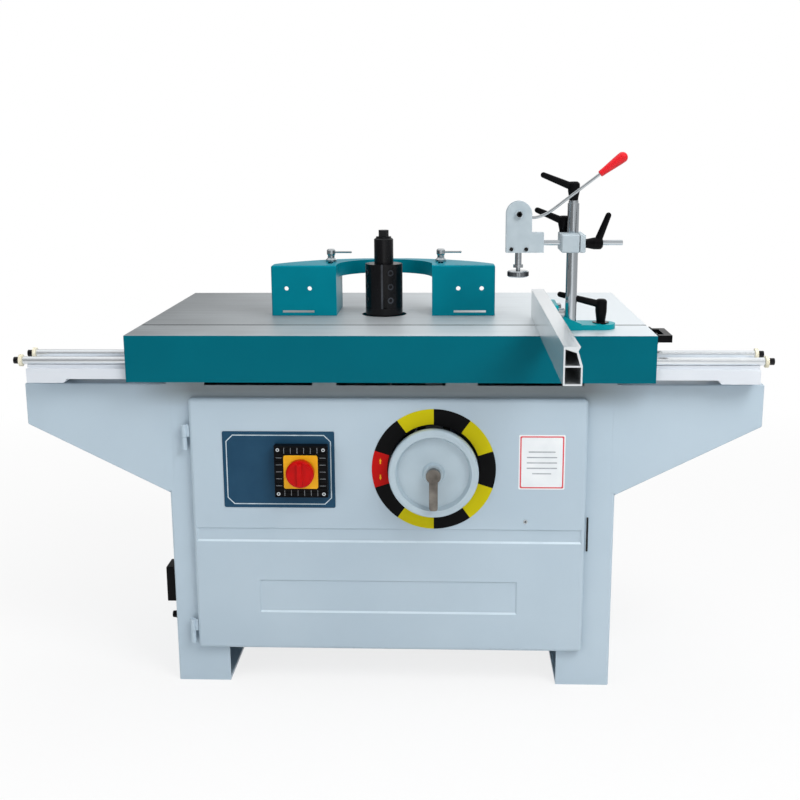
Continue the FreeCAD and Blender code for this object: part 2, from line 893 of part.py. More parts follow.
def build_rail():
    half = "rail_length / 2"
    across = (f"-{half}", half)
    deep = (f"{slide_middle} - rail_width / 2", f"{slide_middle} + rail_width / 2")
    tube = cut("rail_tube", box("rail_outer", across, deep, (rail_low, rail_top)),
               [box("rail_inner", (f"-{half} - rail_wall", f"{half} + rail_wall"),
                    (f"{deep[0]} + rail_wall", f"{deep[1]} - rail_wall"),
                    (f"{rail_low} + rail_wall", f"{rail_top} - rail_wall"))])
    pieces = [tube]
    for row, deep_sign in (("front", "-"), ("rear", "+")):
        middle = f"{slide_middle} {deep_sign} rod_pitch / 2"
        pieces.append(box(f"{row}_ridge", across,
                          (f"{middle} - ridge_width / 2", f"{middle} + ridge_width / 2"),
                          (rail_top, f"{rail_top} + ridge_height")))
    for side, sign in sides:
        middle = f"{sign}rail_foot_spread"
        pieces.append(prism(f"{side}_rail_foot", "XZ_Plane",
                            [(f"{middle} - rail_foot_bottom / 2", wing_top),
                             (f"{middle} + rail_foot_bottom / 2", wing_top),
                             (f"{middle} + rail_foot_top / 2", rail_low),
                             (f"{middle} - rail_foot_top / 2", rail_low)],
                            cabinet_front, deep[1]))
    node("rail_beam", fuse("rail_beam", pieces))

    rods = []
    bumpers = []
    bolts = []
    for row, deep_sign in (("front", "-"), ("rear", "+")):
        middle = f"{slide_middle} {deep_sign} rod_pitch / 2"
        bar = cylinder(f"{row}_bar", "rod_radius", ("-rod_length / 2", middle, rod_up), "rod_length", "x")
        holes = []
        for side, sign in sides:
            out = f"{sign}x"
            at_end = (f"{sign}rod_length / 2", middle, rod_up)
            into = (f"{sign}(rod_length / 2 - rod_bolt_reach - running_fit)", middle, rod_up)
            holes.append(cylinder(f"{row}_{side}_bolt_hole", "rod_bolt_radius + press_fit", into,
                                  "2 * rod_bolt_reach", out))
            bumpers.append(turned(f"{row}_{side}_bumper",
                                  [("rod_bolt_radius + press_fit", "0"), ("bumper_radius", "0"),
                                   ("bumper_radius", "bumper_width"),
                                   ("rod_bolt_radius + press_fit", "bumper_width")], at_end, out))
            bolts.append(turned(f"{row}_{side}_bolt",
                                [("0", "-rod_bolt_reach"), ("rod_bolt_radius", "-rod_bolt_reach"),
                                 ("rod_bolt_radius", "bumper_width"), ("rod_bolt_head", "bumper_width"),
                                 ("rod_bolt_head", "bumper_width + rod_bolt_head_width"),
                                 ("0", "bumper_width + rod_bolt_head_width")], at_end, out))
        rods.append(cut(f"{row}_rod", bar, holes))
    node("guide_rods", group("guide_rods", rods))
    node("rod_bumpers", group("rod_bumpers", bumpers))
    node("rod_bolts", group("rod_bolts", bolts))


def build_sliding_table():
    outer = rounded_slab("slide_outer", (f"-{table_half}", table_half), ("slide_front", slide_back), apron_low,
                         "table_top", "table_round")
    channel = box("slide_channel", (f"-{table_half} - apron_wall", f"{table_half} + apron_wall"),
                  ("slide_front + apron_wall", f"{slide_back} - apron_wall"),
                  (f"{apron_low} - apron_wall", plate_under))
    pivot_hole = cylinder("pivot_hole", "post_spigot + running_fit",
                          ("post_across", "post_back", f"{plate_under} - table_plate"), "3 * table_plate")
    stud_hole = cylinder("base_stud_hole", "base_stud + running_fit",
                         (base_lever_across, base_lever_back,
                          f"{plate_under} - table_plate"), "3 * table_plate")
    node("sliding_table", cut("sliding_table", outer, [channel, pivot_hole, stud_hole]))

    blocks = []
    for row, deep_sign in (("front", "-"), ("rear", "+")):
        middle = f"{slide_middle} {deep_sign} rod_pitch / 2"
        for side, sign in sides:
            centre = f"{sign}bearing_spread"
            body = box(f"{row}_{side}_bearing_body",
                       (f"{centre} - bearing_length / 2", f"{centre} + bearing_length / 2"),
                       (f"{middle} - bearing_width / 2", f"{middle} + bearing_width / 2"),
                       (f"{rod_up} - bearing_lip", plate_under))
            bore = cylinder(f"{row}_{side}_bearing_bore", "rod_radius + running_fit",
                            (f"{centre} - bearing_length", middle, rod_up), "2 * bearing_length", "x")
            blocks.append(cut(f"{row}_{side}_bearing", body, [bore]))
    node("slide_bearings", group("slide_bearings", blocks))

    grip_up = "table_top - table_plate / 2"
    grip_across = f"{table_half} + handle_reach"
    ends = [f"{slide_middle} - handle_span / 2", f"{slide_middle} + handle_span / 2"]
    level = (f"{grip_up} - handle_half", f"{grip_up} + handle_half")
    bow = [box("handle_bar", (f"{grip_across} - handle_half", f"{grip_across} + handle_half"),
               (f"{ends[0]} - handle_half", f"{ends[1]} + handle_half"), level)]
    for name, deep in zip(("front", "rear"), ends):
        bow.append(box(f"handle_{name}_leg", (table_half, grip_across),
                       (f"{deep} - handle_half", f"{deep} + handle_half"), level))
        bow.append(box(f"handle_{name}_flange", (table_half, f"{table_half} + handle_flange_width"),
                       (f"{deep} - handle_flange", f"{deep} + handle_flange"),
                       (f"{grip_up} - handle_flange", f"{grip_up} + handle_flange")))
    node("push_handle", fuse("push_handle", bow))


# Presses a shallow tray of even thickness into the door's face
def pressed_tray(name, across, high):
    skin = "door_skin"
    floor = f"{door_face} + recess_depth"
    tray = box(f"{name}_tray", (f"{across[0]} - {skin}", f"{across[1]} + {skin}"),
               (door_face, f"{floor} + {skin}"),
               (f"{high[0]} - {skin}", f"{high[1]} + {skin}"))
    hollow = box(f"{name}_hollow", across, (f"{door_face} - {skin}", floor), high)
    return tray, hollow


def build_door():
    across = ("door_left", "door_right")
    high = ("door_low", "door_high")
    skin = "door_skin"

    def at_front_or_upright(edge):
        front = all(vertex.Y < value(door_face) + value("door_round") / 2 for vertex in edge.Vertexes)
        return front or runs_along(edge, y_axis)

    outer = soften(prism("door_outer", "XZ_Plane", rectangle(across, high), door_face, door_back),
                   "door_round", at_front_or_upright)
    inner_across = (f"door_left + {skin}", f"door_right - {skin}")
    inner_high = (f"door_low + {skin}", f"door_high - {skin}")
    inner = soften(prism("door_inner", "XZ_Plane", rectangle(inner_across, inner_high),
                         f"{door_face} + {skin}",
                         f"{door_back} + {skin}"),
                   f"door_round - {skin}", at_front_or_upright)
    pan = cut("door_pan", outer, [inner])
    band_tray, band_hollow = pressed_tray("band", ("door_left + band_inset", "door_right - band_inset"),
                                          ("band_low", "band_high"))
    panel_tray, panel_hollow = pressed_tray("panel", ("panel_left", "panel_right"),
                                            ("panel_low", "panel_high"))
    pull = box("door_pull", ("door_right - pull_depth", "door_right + pull_depth"),
               (f"{door_face} + pull_inset - pull_width / 2", f"{door_face} + pull_inset + pull_width / 2"),
               ("pull_low", "pull_high"))
    hole = cylinder("door_wheel_hole", "door_hole", ("wheel_across", f"{door_face} - door_depth", "wheel_up"),
                    "3 * door_depth", "y")
    knob_hole = cylinder("door_knob_hole", "knob_shaft + running_fit",
                         ("switch_across", f"{door_face} - door_depth", "switch_up"), "2 * door_depth", "y")
    pressed = fuse("door_pressing", [pan, band_tray, panel_tray])
    node("door_panel", cut("door_panel", pressed, [band_hollow, panel_hollow, pull, hole, knob_hole]))

    ring_profile = [("door_hole", "0"), ("hazard_outer", "0"), ("hazard_outer", "hazard_thickness"),
                    ("door_hole", "hazard_thickness")]
    node("hazard_ring", turned("hazard_ring", ring_profile, ("wheel_across", door_face, "wheel_up"), "-y"))


# Each hinge has a lower knuckle and pin on the cabinet and an upper knuckle on the door
def build_hinges():
    fixed = []
    swinging = []
    half = "hinge_length / 2"
    for name, low in (("upper", "hinge_upper"), ("lower", "hinge_lower")):
        at = (hinge_across, hinge_deep, low)
        top_at = (hinge_across, hinge_deep, f"{low} + {half} + face_gap")
        knuckle = cylinder(f"{name}_fixed_knuckle", "hinge_radius", at, half)
        pin = cylinder(f"{name}_pin", "hinge_pin", at, "hinge_length")
        leaf = box(f"{name}_fixed_leaf", (f"{hinge_across} - leaf_thickness / 2",
                                          f"{hinge_across} + leaf_thickness / 2"),
                   (hinge_deep, cabinet_front), (low, f"{low} + {half}"))
        fixed.append(fuse(f"{name}_fixed_hinge", [knuckle, pin, leaf]))
        moving_knuckle = cylinder(f"{name}_door_knuckle", "hinge_radius", top_at, f"{half} - face_gap")
        moving_leaf = box(f"{name}_door_leaf", (hinge_across, "door_left"),
                          (f"{hinge_deep} - leaf_thickness / 2", f"{hinge_deep} + leaf_thickness / 2"),
                          (f"{low} + {half} + face_gap", f"{low} + hinge_length"))
        bore = cylinder(f"{name}_pin_bore", "hinge_pin + running_fit", at, "2 * hinge_length")
        swinging.append(cut(f"{name}_door_hinge", fuse(f"{name}_door_pieces", [moving_knuckle, moving_leaf]),
                            [bore]))
    node("cabinet_hinges", group("cabinet_hinges", fixed))
    node("door_hinges", group("door_hinges", swinging))


def build_switch():
    half = "switch_base_size / 2"
    base_front = f"({door_face} - switch_base_depth)"
    across = (f"switch_across - {half}", f"switch_across + {half}")
    block = box("switch_block", across, (base_front, door_face),
                (f"switch_up - {half}", f"switch_up + {half}"))
    grooves = []
    for side, sign in (("low", "-"), ("high", "+")):
        for index in range(int(sizes["switch_rib_count"])):
            edge = f"switch_up {sign} {half}"
            inward = "+" if sign == "-" else "-"
            middle = f"{edge} {inward} {2 * index + 1} * switch_rib_width"
            grooves.append(box(f"switch_groove_{side}_{index}",
                               (f"{across[0]} - door_skin", f"{across[1]} + door_skin"),
                               (f"{base_front} - door_skin", f"{base_front} + switch_rib_depth"),
                               (f"{middle} - switch_rib_width / 2", f"{middle}")))
    shaft_hole = cylinder("switch_shaft_hole", "knob_shaft + running_fit",
                          ("switch_across", f"{base_front} - door_depth", "switch_up"), "4 * door_depth", "y")
    node("switch_base", cut("switch_base", block, grooves + [shaft_hole]))

    plate_half = "bezel_size / 2"
    plate_front = f"({base_front} - bezel_depth)"
    plate = prism("bezel_plate", "XZ_Plane",
                  rectangle((f"switch_across - {plate_half}", f"switch_across + {plate_half}"),
                            (f"switch_up - {plate_half}",
                             f"switch_up + {plate_half}")), plate_front, base_front)
    soften(plate, "switch_rib_width", lambda edge: runs_along(edge, y_axis))
    bezel_hole = cylinder("bezel_hole", "knob_shaft + running_fit",
                          ("switch_across", f"{plate_front} - bezel_depth",
                           "switch_up"), "3 * bezel_depth", "y")
    node("switch_bezel", cut("switch_bezel", plate, [bezel_hole]))

    profile = [("0", "-switch_base_depth - bezel_depth"), ("knob_shaft", "-switch_base_depth - bezel_depth"),
               ("knob_shaft", "face_gap"), ("knob_neck", "face_gap"), ("knob_neck", "knob_neck_depth"),
               ("knob_radius", "knob_neck_depth"), ("knob_radius", "knob_depth - knob_neck_depth"),
               ("knob_radius - knob_neck_depth", "knob_depth"), ("0", "knob_depth")]
    dome = turned("knob_dome", profile, ("switch_across", plate_front, "switch_up"), "-y")
    knob_front = f"({plate_front} - knob_depth)"
    ridge = box("knob_ridge", ("switch_across - knob_ridge_width / 2", "switch_across + knob_ridge_width / 2"),
                (f"{knob_front} - knob_ridge_depth", knob_front),
                ("switch_up - knob_radius + knob_neck_depth * 2",
                 "switch_up + knob_radius - knob_neck_depth * 2"))
    node("switch_knob", fuse("switch_knob", [dome, ridge]))


def build_handwheel():
    at = ("wheel_across", "wheel_plane", "wheel_up")
    bore = "shaft_radius + press_fit"
    inner_rim = "wheel_radius - wheel_rim"
    edge = "wheel_round"
    profile = [(bore, "-wheel_half"), ("wheel_hub", "-wheel_half"), ("wheel_hub + edge_break", "-wheel_web"),
               (f"{inner_rim} - {edge}", "-wheel_web"), (inner_rim, "-wheel_half"),
               (f"wheel_radius - {edge}", "-wheel_half"), ("wheel_radius", f"{edge} - wheel_half"),
               ("wheel_radius", f"wheel_half - {edge}"), (f"wheel_radius - {edge}", "wheel_half"),
               (f"{inner_rim} + edge_break", "wheel_half"), (f"{inner_rim} - {edge}", "0"),
               (f"wheel_hub + {edge}", "wheel_dish"), ("wheel_hub", "wheel_half"), (bore, "wheel_half")]
    wheel = turned("handwheel", profile, at, "-y")
    half = "scallop_radius"
    notch = [("wheel_radius - scallop_sink", f"-{half} / 2"), ("wheel_radius - scallop_sink", f"{half} / 2"),
             ("wheel_radius + scallop_sink", half), ("wheel_radius + scallop_sink", f"-{half}")]
    node("handwheel", ring_of_pockets(wheel, notch, "wheel_half", "2 * wheel_half", "scallop_count"))

    # The shaft runs from the wheel to its bevel pinion, whose cone points at the lead screw
    start = "(wheel_plane - wheel_half - shaft_proud)"
    big_end = f"(column_back - gear_radius - {start})"
    small_end = f"(column_back - gear_small - {start})"
    pinion = [("0", "0"), ("shaft_radius", "0"), ("shaft_radius", f"{big_end} - gear_hub / 2"),
              ("gear_radius - gear_gap - gear_back", f"{big_end} - gear_hub / 2"), ("gear_radius - gear_gap",
                                                                                    big_end),
              ("gear_small - gear_gap", small_end), ("0", small_end)]
    shaft = turned("wheel_shaft", pinion, ("wheel_across", start, "wheel_up"), "y")
    tooth = [("gear_radius - gear_tooth_depth", "-gear_tooth / 2"),
             ("gear_radius + gear_tooth", "-gear_tooth / 2"),
             ("gear_radius + gear_tooth", "gear_tooth / 2"), ("gear_radius - gear_tooth_depth",
                                                              "gear_tooth / 2")]
    node("wheel_shaft", ring_of_pockets(shaft, tooth, small_end, "gear_radius - gear_small + gear_hub / 2",
                                        "gear_tooth_count"))

    lever_back = f"({start} - face_gap)"
    lever_front = f"({lever_back} - lever_hub_depth)"
    hub = cylinder("lock_hub", "lever_hub", ("wheel_across", lever_back, "wheel_up"), "lever_hub_depth", "-y")
    bar = prism("lock_bar", "XZ_Plane",
                rectangle(("wheel_across - lever_width / 2", "wheel_across + lever_width / 2"),
                          ("wheel_up - lever_drop",
                           "wheel_up + lever_rise")), lever_front, f"{lever_front} + lever_depth")
    soften(bar, "lever_width / 3", lambda edge: runs_along(edge, y_axis))
    node("lock_lever", fuse("lock_lever", [hub, bar]))

    hanger_deep = ("hanger_front", "hanger_front + hanger_depth")
    strap = box("hanger_strap", ("wheel_across - hanger_width / 2", "wheel_across + hanger_width / 2"),
                hanger_deep,
                ("wheel_up", "cabinet_height - cabinet_wall"))
    boss = cylinder("hanger_boss_ring", "hanger_boss", ("wheel_across", "hanger_front", "wheel_up"),
                    "hanger_depth", "y")
    journal = cylinder("hanger_bore", "shaft_radius + running_fit",
                       ("wheel_across", "hanger_front - hanger_depth", "wheel_up"), "3 * hanger_depth", "y")
    node("wheel_hanger", cut("wheel_hanger", fuse("hanger_body", [strap, boss]), [journal]))


def build_lead_screw():
    low = "(shelf_low - shelf_thickness)"
    small_end = f"(wheel_up + gear_small - {low})"
    big_end = f"(wheel_up + gear_radius - {low})"
    top_journal = f"(shelf_high - {low} - face_gap)"
    profile = [("0", "0"), ("journal_radius", "0"), ("journal_radius", small_end),
               ("gear_small - gear_gap", small_end),
               ("gear_radius - gear_gap", big_end), ("gear_radius - gear_gap - gear_back",
                                                     f"{big_end} + gear_hub / 2"),
               ("screw_radius", f"{big_end} + gear_hub / 2"), ("screw_radius", top_journal),
               ("journal_radius", top_journal), ("journal_radius", f"{top_journal} + shelf_thickness"),
               ("0", f"{top_journal} + shelf_thickness")]
    screw = turned("lead_screw", profile, ("wheel_across", "column_back", low))
    tooth = [("gear_radius - gear_tooth_depth", "-gear_tooth / 2"),
             ("gear_radius + gear_tooth", "-gear_tooth / 2"),
             ("gear_radius + gear_tooth", "gear_tooth / 2"), ("gear_radius - gear_tooth_depth",
                                                              "gear_tooth / 2")]
    node("lead_screw", ring_of_pockets(screw, tooth, f"{big_end} + gear_hub / 2",
                                       "gear_radius - gear_small + gear_hub / 2", "gear_tooth_count"))


def build_lift_frame():
    across = ("frame_left", "frame_right")
    shelf_deep = ("shelf_front", "frame_front")
    low_shelf = ("shelf_low - shelf_thickness", "shelf_low")
    back = box("frame_back", across, ("frame_front", "frame_front + frame_plate"), (low_shelf[0], plate_under))
    top = box("frame_top_flange", across, shelf_deep, (f"{plate_under} - shelf_thickness", plate_under))
    upper = box("frame_upper_shelf", across, shelf_deep, ("shelf_high", "shelf_high + shelf_thickness"))
    lower = box("frame_lower_shelf", across, shelf_deep, low_shelf)
    pillar_across = ("wheel_across - pillar_width / 2", "wheel_across + pillar_width / 2")
    step = box("frame_step", pillar_across, ("pillar_front", "frame_front"), low_shelf)
    pillar = box("frame_pillar", pillar_across, ("pillar_front", "pillar_front + pillar_depth"),
                 (low_shelf[0], "wheel_up + pillar_cover"))
    screw_bore = cylinder("frame_screw_bore", "journal_radius + running_fit",
                          ("wheel_across", "column_back", "shelf_low - 2 * shelf_thickness"),
                          "shelf_high - shelf_low + 4 * shelf_thickness")
    shaft_bore = cylinder("frame_shaft_bore", "shaft_radius + running_fit",
                          ("wheel_across", "pillar_front - pillar_depth", "wheel_up"), "3 * pillar_depth", "y")
    body = fuse("frame_body", [back, top, upper, lower, step, pillar])
    node("lift_frame", cut("lift_frame", body, [screw_bore, shaft_bore]))
    columns = [
        cylinder(f"column_{index}", "column_radius", (across_at, "column_back", "shelf_low"),
                 "shelf_high - shelf_low")
        for index, across_at in enumerate(column_places)
    ]
    node("lift_columns", group("lift_columns", columns))


def build_carriage():
    grip = "(quill_radius + carriage_wall)"
    saddle = "(column_radius + carriage_wall)"
    level = ("carriage_low", carriage_top)
    clasp = box("quill_clasp", (f"spindle_across - {grip}", f"spindle_across + {grip}"),
                (f"spindle_back - {grip}", f"column_back - {saddle}"), level)
    bridge = box("column_bridge", (f"{column_places[0]} - {saddle}", f"{column_places[1]} + {saddle}"),
                 (f"column_back - {saddle}", f"column_back + {saddle}"), level)
    nut = "(screw_radius + nut_wall)"
    nut_lug = box("nut_lug", (f"{column_places[1]} + column_radius", f"wheel_across + {nut}"),
                  (f"column_back - {nut}", f"column_back + {nut}"), ("nut_low", "nut_low + nut_height"))
    motor_mount = box("motor_mount", (f"{motor_across} - motor_plate_half", "spindle_across - quill_radius"),
                      ("spindle_back - motor_plate_half", "spindle_back + motor_plate_half / 2"),
                      (f"{carriage_top} - motor_plate", carriage_top))
    bores = [cylinder("clasp_bore", "quill_radius + press_fit",
                      ("spindle_across", "spindle_back", "carriage_low - edge_break"),
                      "carriage_height + 2 * edge_break"),
             cylinder("nut_bore", "screw_radius + thread_gap",
                      ("wheel_across", "column_back", "nut_low - nut_height"),
                      "3 * nut_height")]
    for index, across_at in enumerate(column_places):
        bores.append(cylinder(f"column_bore_{index}", "column_radius + running_fit",
                              (across_at, "column_back",
                               "carriage_low - edge_break"), "carriage_height + 2 * edge_break"))
    body = fuse("carriage_body", [clasp, bridge, nut_lug, motor_mount])
    node("lift_carriage", cut("lift_carriage", body, bores))

    spindle_at = ("spindle_across", "spindle_back")
    lip = "quill_lip"
    quill_profile = [(lip, "0"), ("quill_radius", "0"), ("quill_radius", "quill_height"),
                     (lip, "quill_height"),
                     (lip, "quill_height - bearing_inset"), ("quill_bore", "quill_height - bearing_inset"),
                     ("quill_bore", "bearing_inset"), (lip, "bearing_inset")]
    node("spindle_quill", turned("spindle_quill", quill_profile, (*spindle_at, "quill_low")))
    bearings = []
    for index, start in enumerate(("quill_low + bearing_inset",
                                   "quill_low + quill_height - bearing_inset - bearing_height")):
        ring = [("spindle_radius + running_fit", "0"), ("quill_bore - press_fit", "0"),
                ("quill_bore - press_fit", "bearing_height"), ("spindle_radius + running_fit",
                                                               "bearing_height")]
        bearings.append(turned(f"bearing_{index}", ring, (*spindle_at, start)))
    node("spindle_bearings", group("spindle_bearings", bearings))

    motor_top = f"({carriage_top} - motor_plate)"
    drum = [("motor_shaft + running_fit", "0"), ("motor_radius - motor_edge", "0"),
            ("motor_radius", "motor_edge"),
            ("motor_radius", f"{motor_top} - motor_low"), ("motor_shaft + running_fit",
                                                           f"{motor_top} - motor_low")]
    can = turned("motor_can", drum, (motor_across, "spindle_back", "motor_low"))
    box_half = "motor_box_size / 2"
    terminal = box("motor_terminal_box", (f"{motor_across} - {box_half}", f"{motor_across} + {box_half}"),
                   ("spindle_back - motor_radius - motor_box_depth", "spindle_back - motor_radius / 2"),
                   (f"{motor_top} - motor_box_drop - motor_box_height", f"{motor_top} - motor_box_drop"))
    core = cylinder("motor_core", "motor_sleeve", (motor_across, "spindle_back", "motor_low"),
                    f"{motor_top} - motor_low")
    body = cut("motor_outer", fuse("motor_shape", [can, terminal]), [core])
    sleeve = turned("motor_sleeve", [("motor_shaft + running_fit", "0"), ("motor_sleeve", "0"),
                                     ("motor_sleeve", f"{motor_top} - motor_low"),
                                     ("motor_shaft + running_fit", f"{motor_top} - motor_low")],
                    (motor_across, "spindle_back", "motor_low"))
    node("motor_body", fuse("motor_body", [body, sleeve]))
    build_drive(motor_top)


def pulley_profile(radius, bore):
    rim = f"{radius} + pulley_lip"
    top = "pulley_height"
    return [(bore, "0"), (rim, "0"), (rim, "pulley_lip_height"), (radius, "pulley_lip_height"),
            (radius, f"{top} - pulley_lip_height"), (rim, f"{top} - pulley_lip_height"), (rim, top), (bore,
                                                                                                      top)]


# A closed loop round two pulleys: two discs and the quadrilateral between their tangent points
def belt_loop(name, extra, low, height):
    big = f"(motor_pulley_radius + {extra})"
    small = f"(spindle_pulley_radius + {extra})"
    sine = "((motor_pulley_radius - spindle_pulley_radius) / motor_offset)"
    cosine = f"sqrt(1 - {sine} * {sine})"
    corners = [(f"{motor_across} + {big} * {sine}", f"spindle_back - {big} * {cosine}"),
               (f"spindle_across + {small} * {sine}", f"spindle_back - {small} * {cosine}"),
               (f"spindle_across + {small} * {sine}", f"spindle_back + {small} * {cosine}"),
               (f"{motor_across} + {big} * {sine}", f"spindle_back + {big} * {cosine}")]
    return fuse(name, [cylinder(f"{name}_big", big, (motor_across, "spindle_back", low), height),
                       cylinder(f"{name}_small", small, ("spindle_across", "spindle_back", low), height),
                       prism(f"{name}_span", "XY_Plane", corners, low, f"{low} + {height}")])


def build_drive(motor_top):
    low = "(pulley_low + (pulley_height - belt_width) / 2)"
    outer = belt_loop("belt_outer", "face_gap + belt_thickness", low, "belt_width")
    inner = belt_loop("belt_inner", "face_gap", f"({low} - belt_width)", "3 * belt_width")
    node("drive_belt", cut("drive_belt", outer, [inner]))

    at = ("spindle_across", "spindle_back", "pulley_low")
    node("spindle_pulley", turned("spindle_pulley",
                                  pulley_profile("spindle_pulley_radius", "spindle_radius + press_fit"), at))
    motor_at = (motor_across, "spindle_back", "pulley_low")
    wheel = turned("motor_wheel", pulley_profile("motor_pulley_radius", "motor_shaft / 2"), motor_at)
    shaft = cylinder("motor_axle", "motor_shaft", motor_at, f"{motor_top} - pulley_low - face_gap")
    node("motor_pulley", fuse("motor_pulley", [wheel, shaft]))


def build_spindle():
    at = ("spindle_across", "spindle_back")
    flange = "(table_top - spindle_low)"
    cutter_low = f"({flange} + flange_height)"
    shoulder = "(quill_low + quill_height - spindle_low + face_gap)"
    top = f"({cutter_low} + cutter_height + collar_height)"
    bolt_hole = "bolt_shank + press_fit"
    profile = [("0", "0"), ("spindle_radius", "0"), ("spindle_radius", shoulder), ("nose_radius", shoulder),
               ("nose_radius", flange), ("flange_radius", flange), ("flange_radius", cutter_low),
               ("spindle_radius", cutter_low), ("spindle_radius", top), (bolt_hole, top),
               (bolt_hole, f"{top} - bolt_reach - face_gap"), ("0", f"{top} - bolt_reach - face_gap")]
    node("spindle_shaft", turned("spindle_shaft", profile, (*at, "spindle_low")))

    cutter_at = (*at, f"spindle_low + {cutter_low}")
    ring = [("spindle_radius + press_fit", "0"), ("cutter_radius", "0"), ("cutter_radius", "cutter_height"),
            ("spindle_radius + press_fit", "cutter_height")]
    block = turned("cutter_block", ring, cutter_at)
    gullet = [("cutter_radius - gullet_depth", "-knife_thickness"),
              ("cutter_radius + knife_proud", "-knife_thickness"),
              ("cutter_radius + knife_proud", "gullet_width - knife_thickness"),
              ("cutter_radius - gullet_depth", "gullet_width - knife_thickness")]
    node("cutter_block", ring_of_pockets(block, gullet, "cutter_height", "cutter_height", "knife_count"))
    knives = []
    for index in range(int(sizes["knife_count"])):
        turn = FreeCAD.Rotation(z_axis, 360 * index / sizes["knife_count"])
        knife = box(f"knife_{index}", ("cutter_radius - gullet_depth", "cutter_radius + knife_proud"),
                    ("-knife_thickness", "0"), ("0", "cutter_height"))
        holder = doc.addObject("Part::Compound", f"knife_holder_{index}")
        holder.Links = [knife]
        holder.Placement = FreeCAD.Placement(FreeCAD.Vector(), turn)
        for axis, text in zip("xyz", cutter_at):
            bind(holder, f"Placement.Base.{axis}", text)
        knives.append(holder)
    node("cutter_knives", group("cutter_knives", knives))

    collar_low = f"(spindle_low + {cutter_low} + cutter_height)"
    collar = [("spindle_radius + press_fit", "0"), ("collar_radius", "0"),
              ("collar_radius", "collar_height - collar_edge"),
              ("collar_radius - collar_edge", "collar_height"), ("spindle_radius + press_fit",
                                                                 "collar_height")]
    node("spindle_collar", turned("spindle_collar", collar, (*at, collar_low)))

    head_low = f"({collar_low} + collar_height)"
    half = "bolt_across / 2"
    corner = f"({half} / cos(30))"
    hexagon = [(f"spindle_across + {corner} * {c}", f"spindle_back + {half} * {s}")
               for c, s in (("1", "0"), ("0.5", "1"), ("-0.5", "1"), ("-1", "0"), ("-0.5", "-1"),
                            ("0.5", "-1"))]
    head = prism("bolt_head", "XY_Plane", hexagon, head_low, f"{head_low} + bolt_height")
    washer = cylinder("bolt_washer_disc", "bolt_washer", (*at, head_low), "bolt_washer_height")
    shank = cylinder("bolt_shank_rod", "bolt_shank", (*at, f"{head_low} - bolt_reach"), "bolt_reach")
    node("spindle_bolt", fuse("spindle_bolt", [head, washer, shank]))


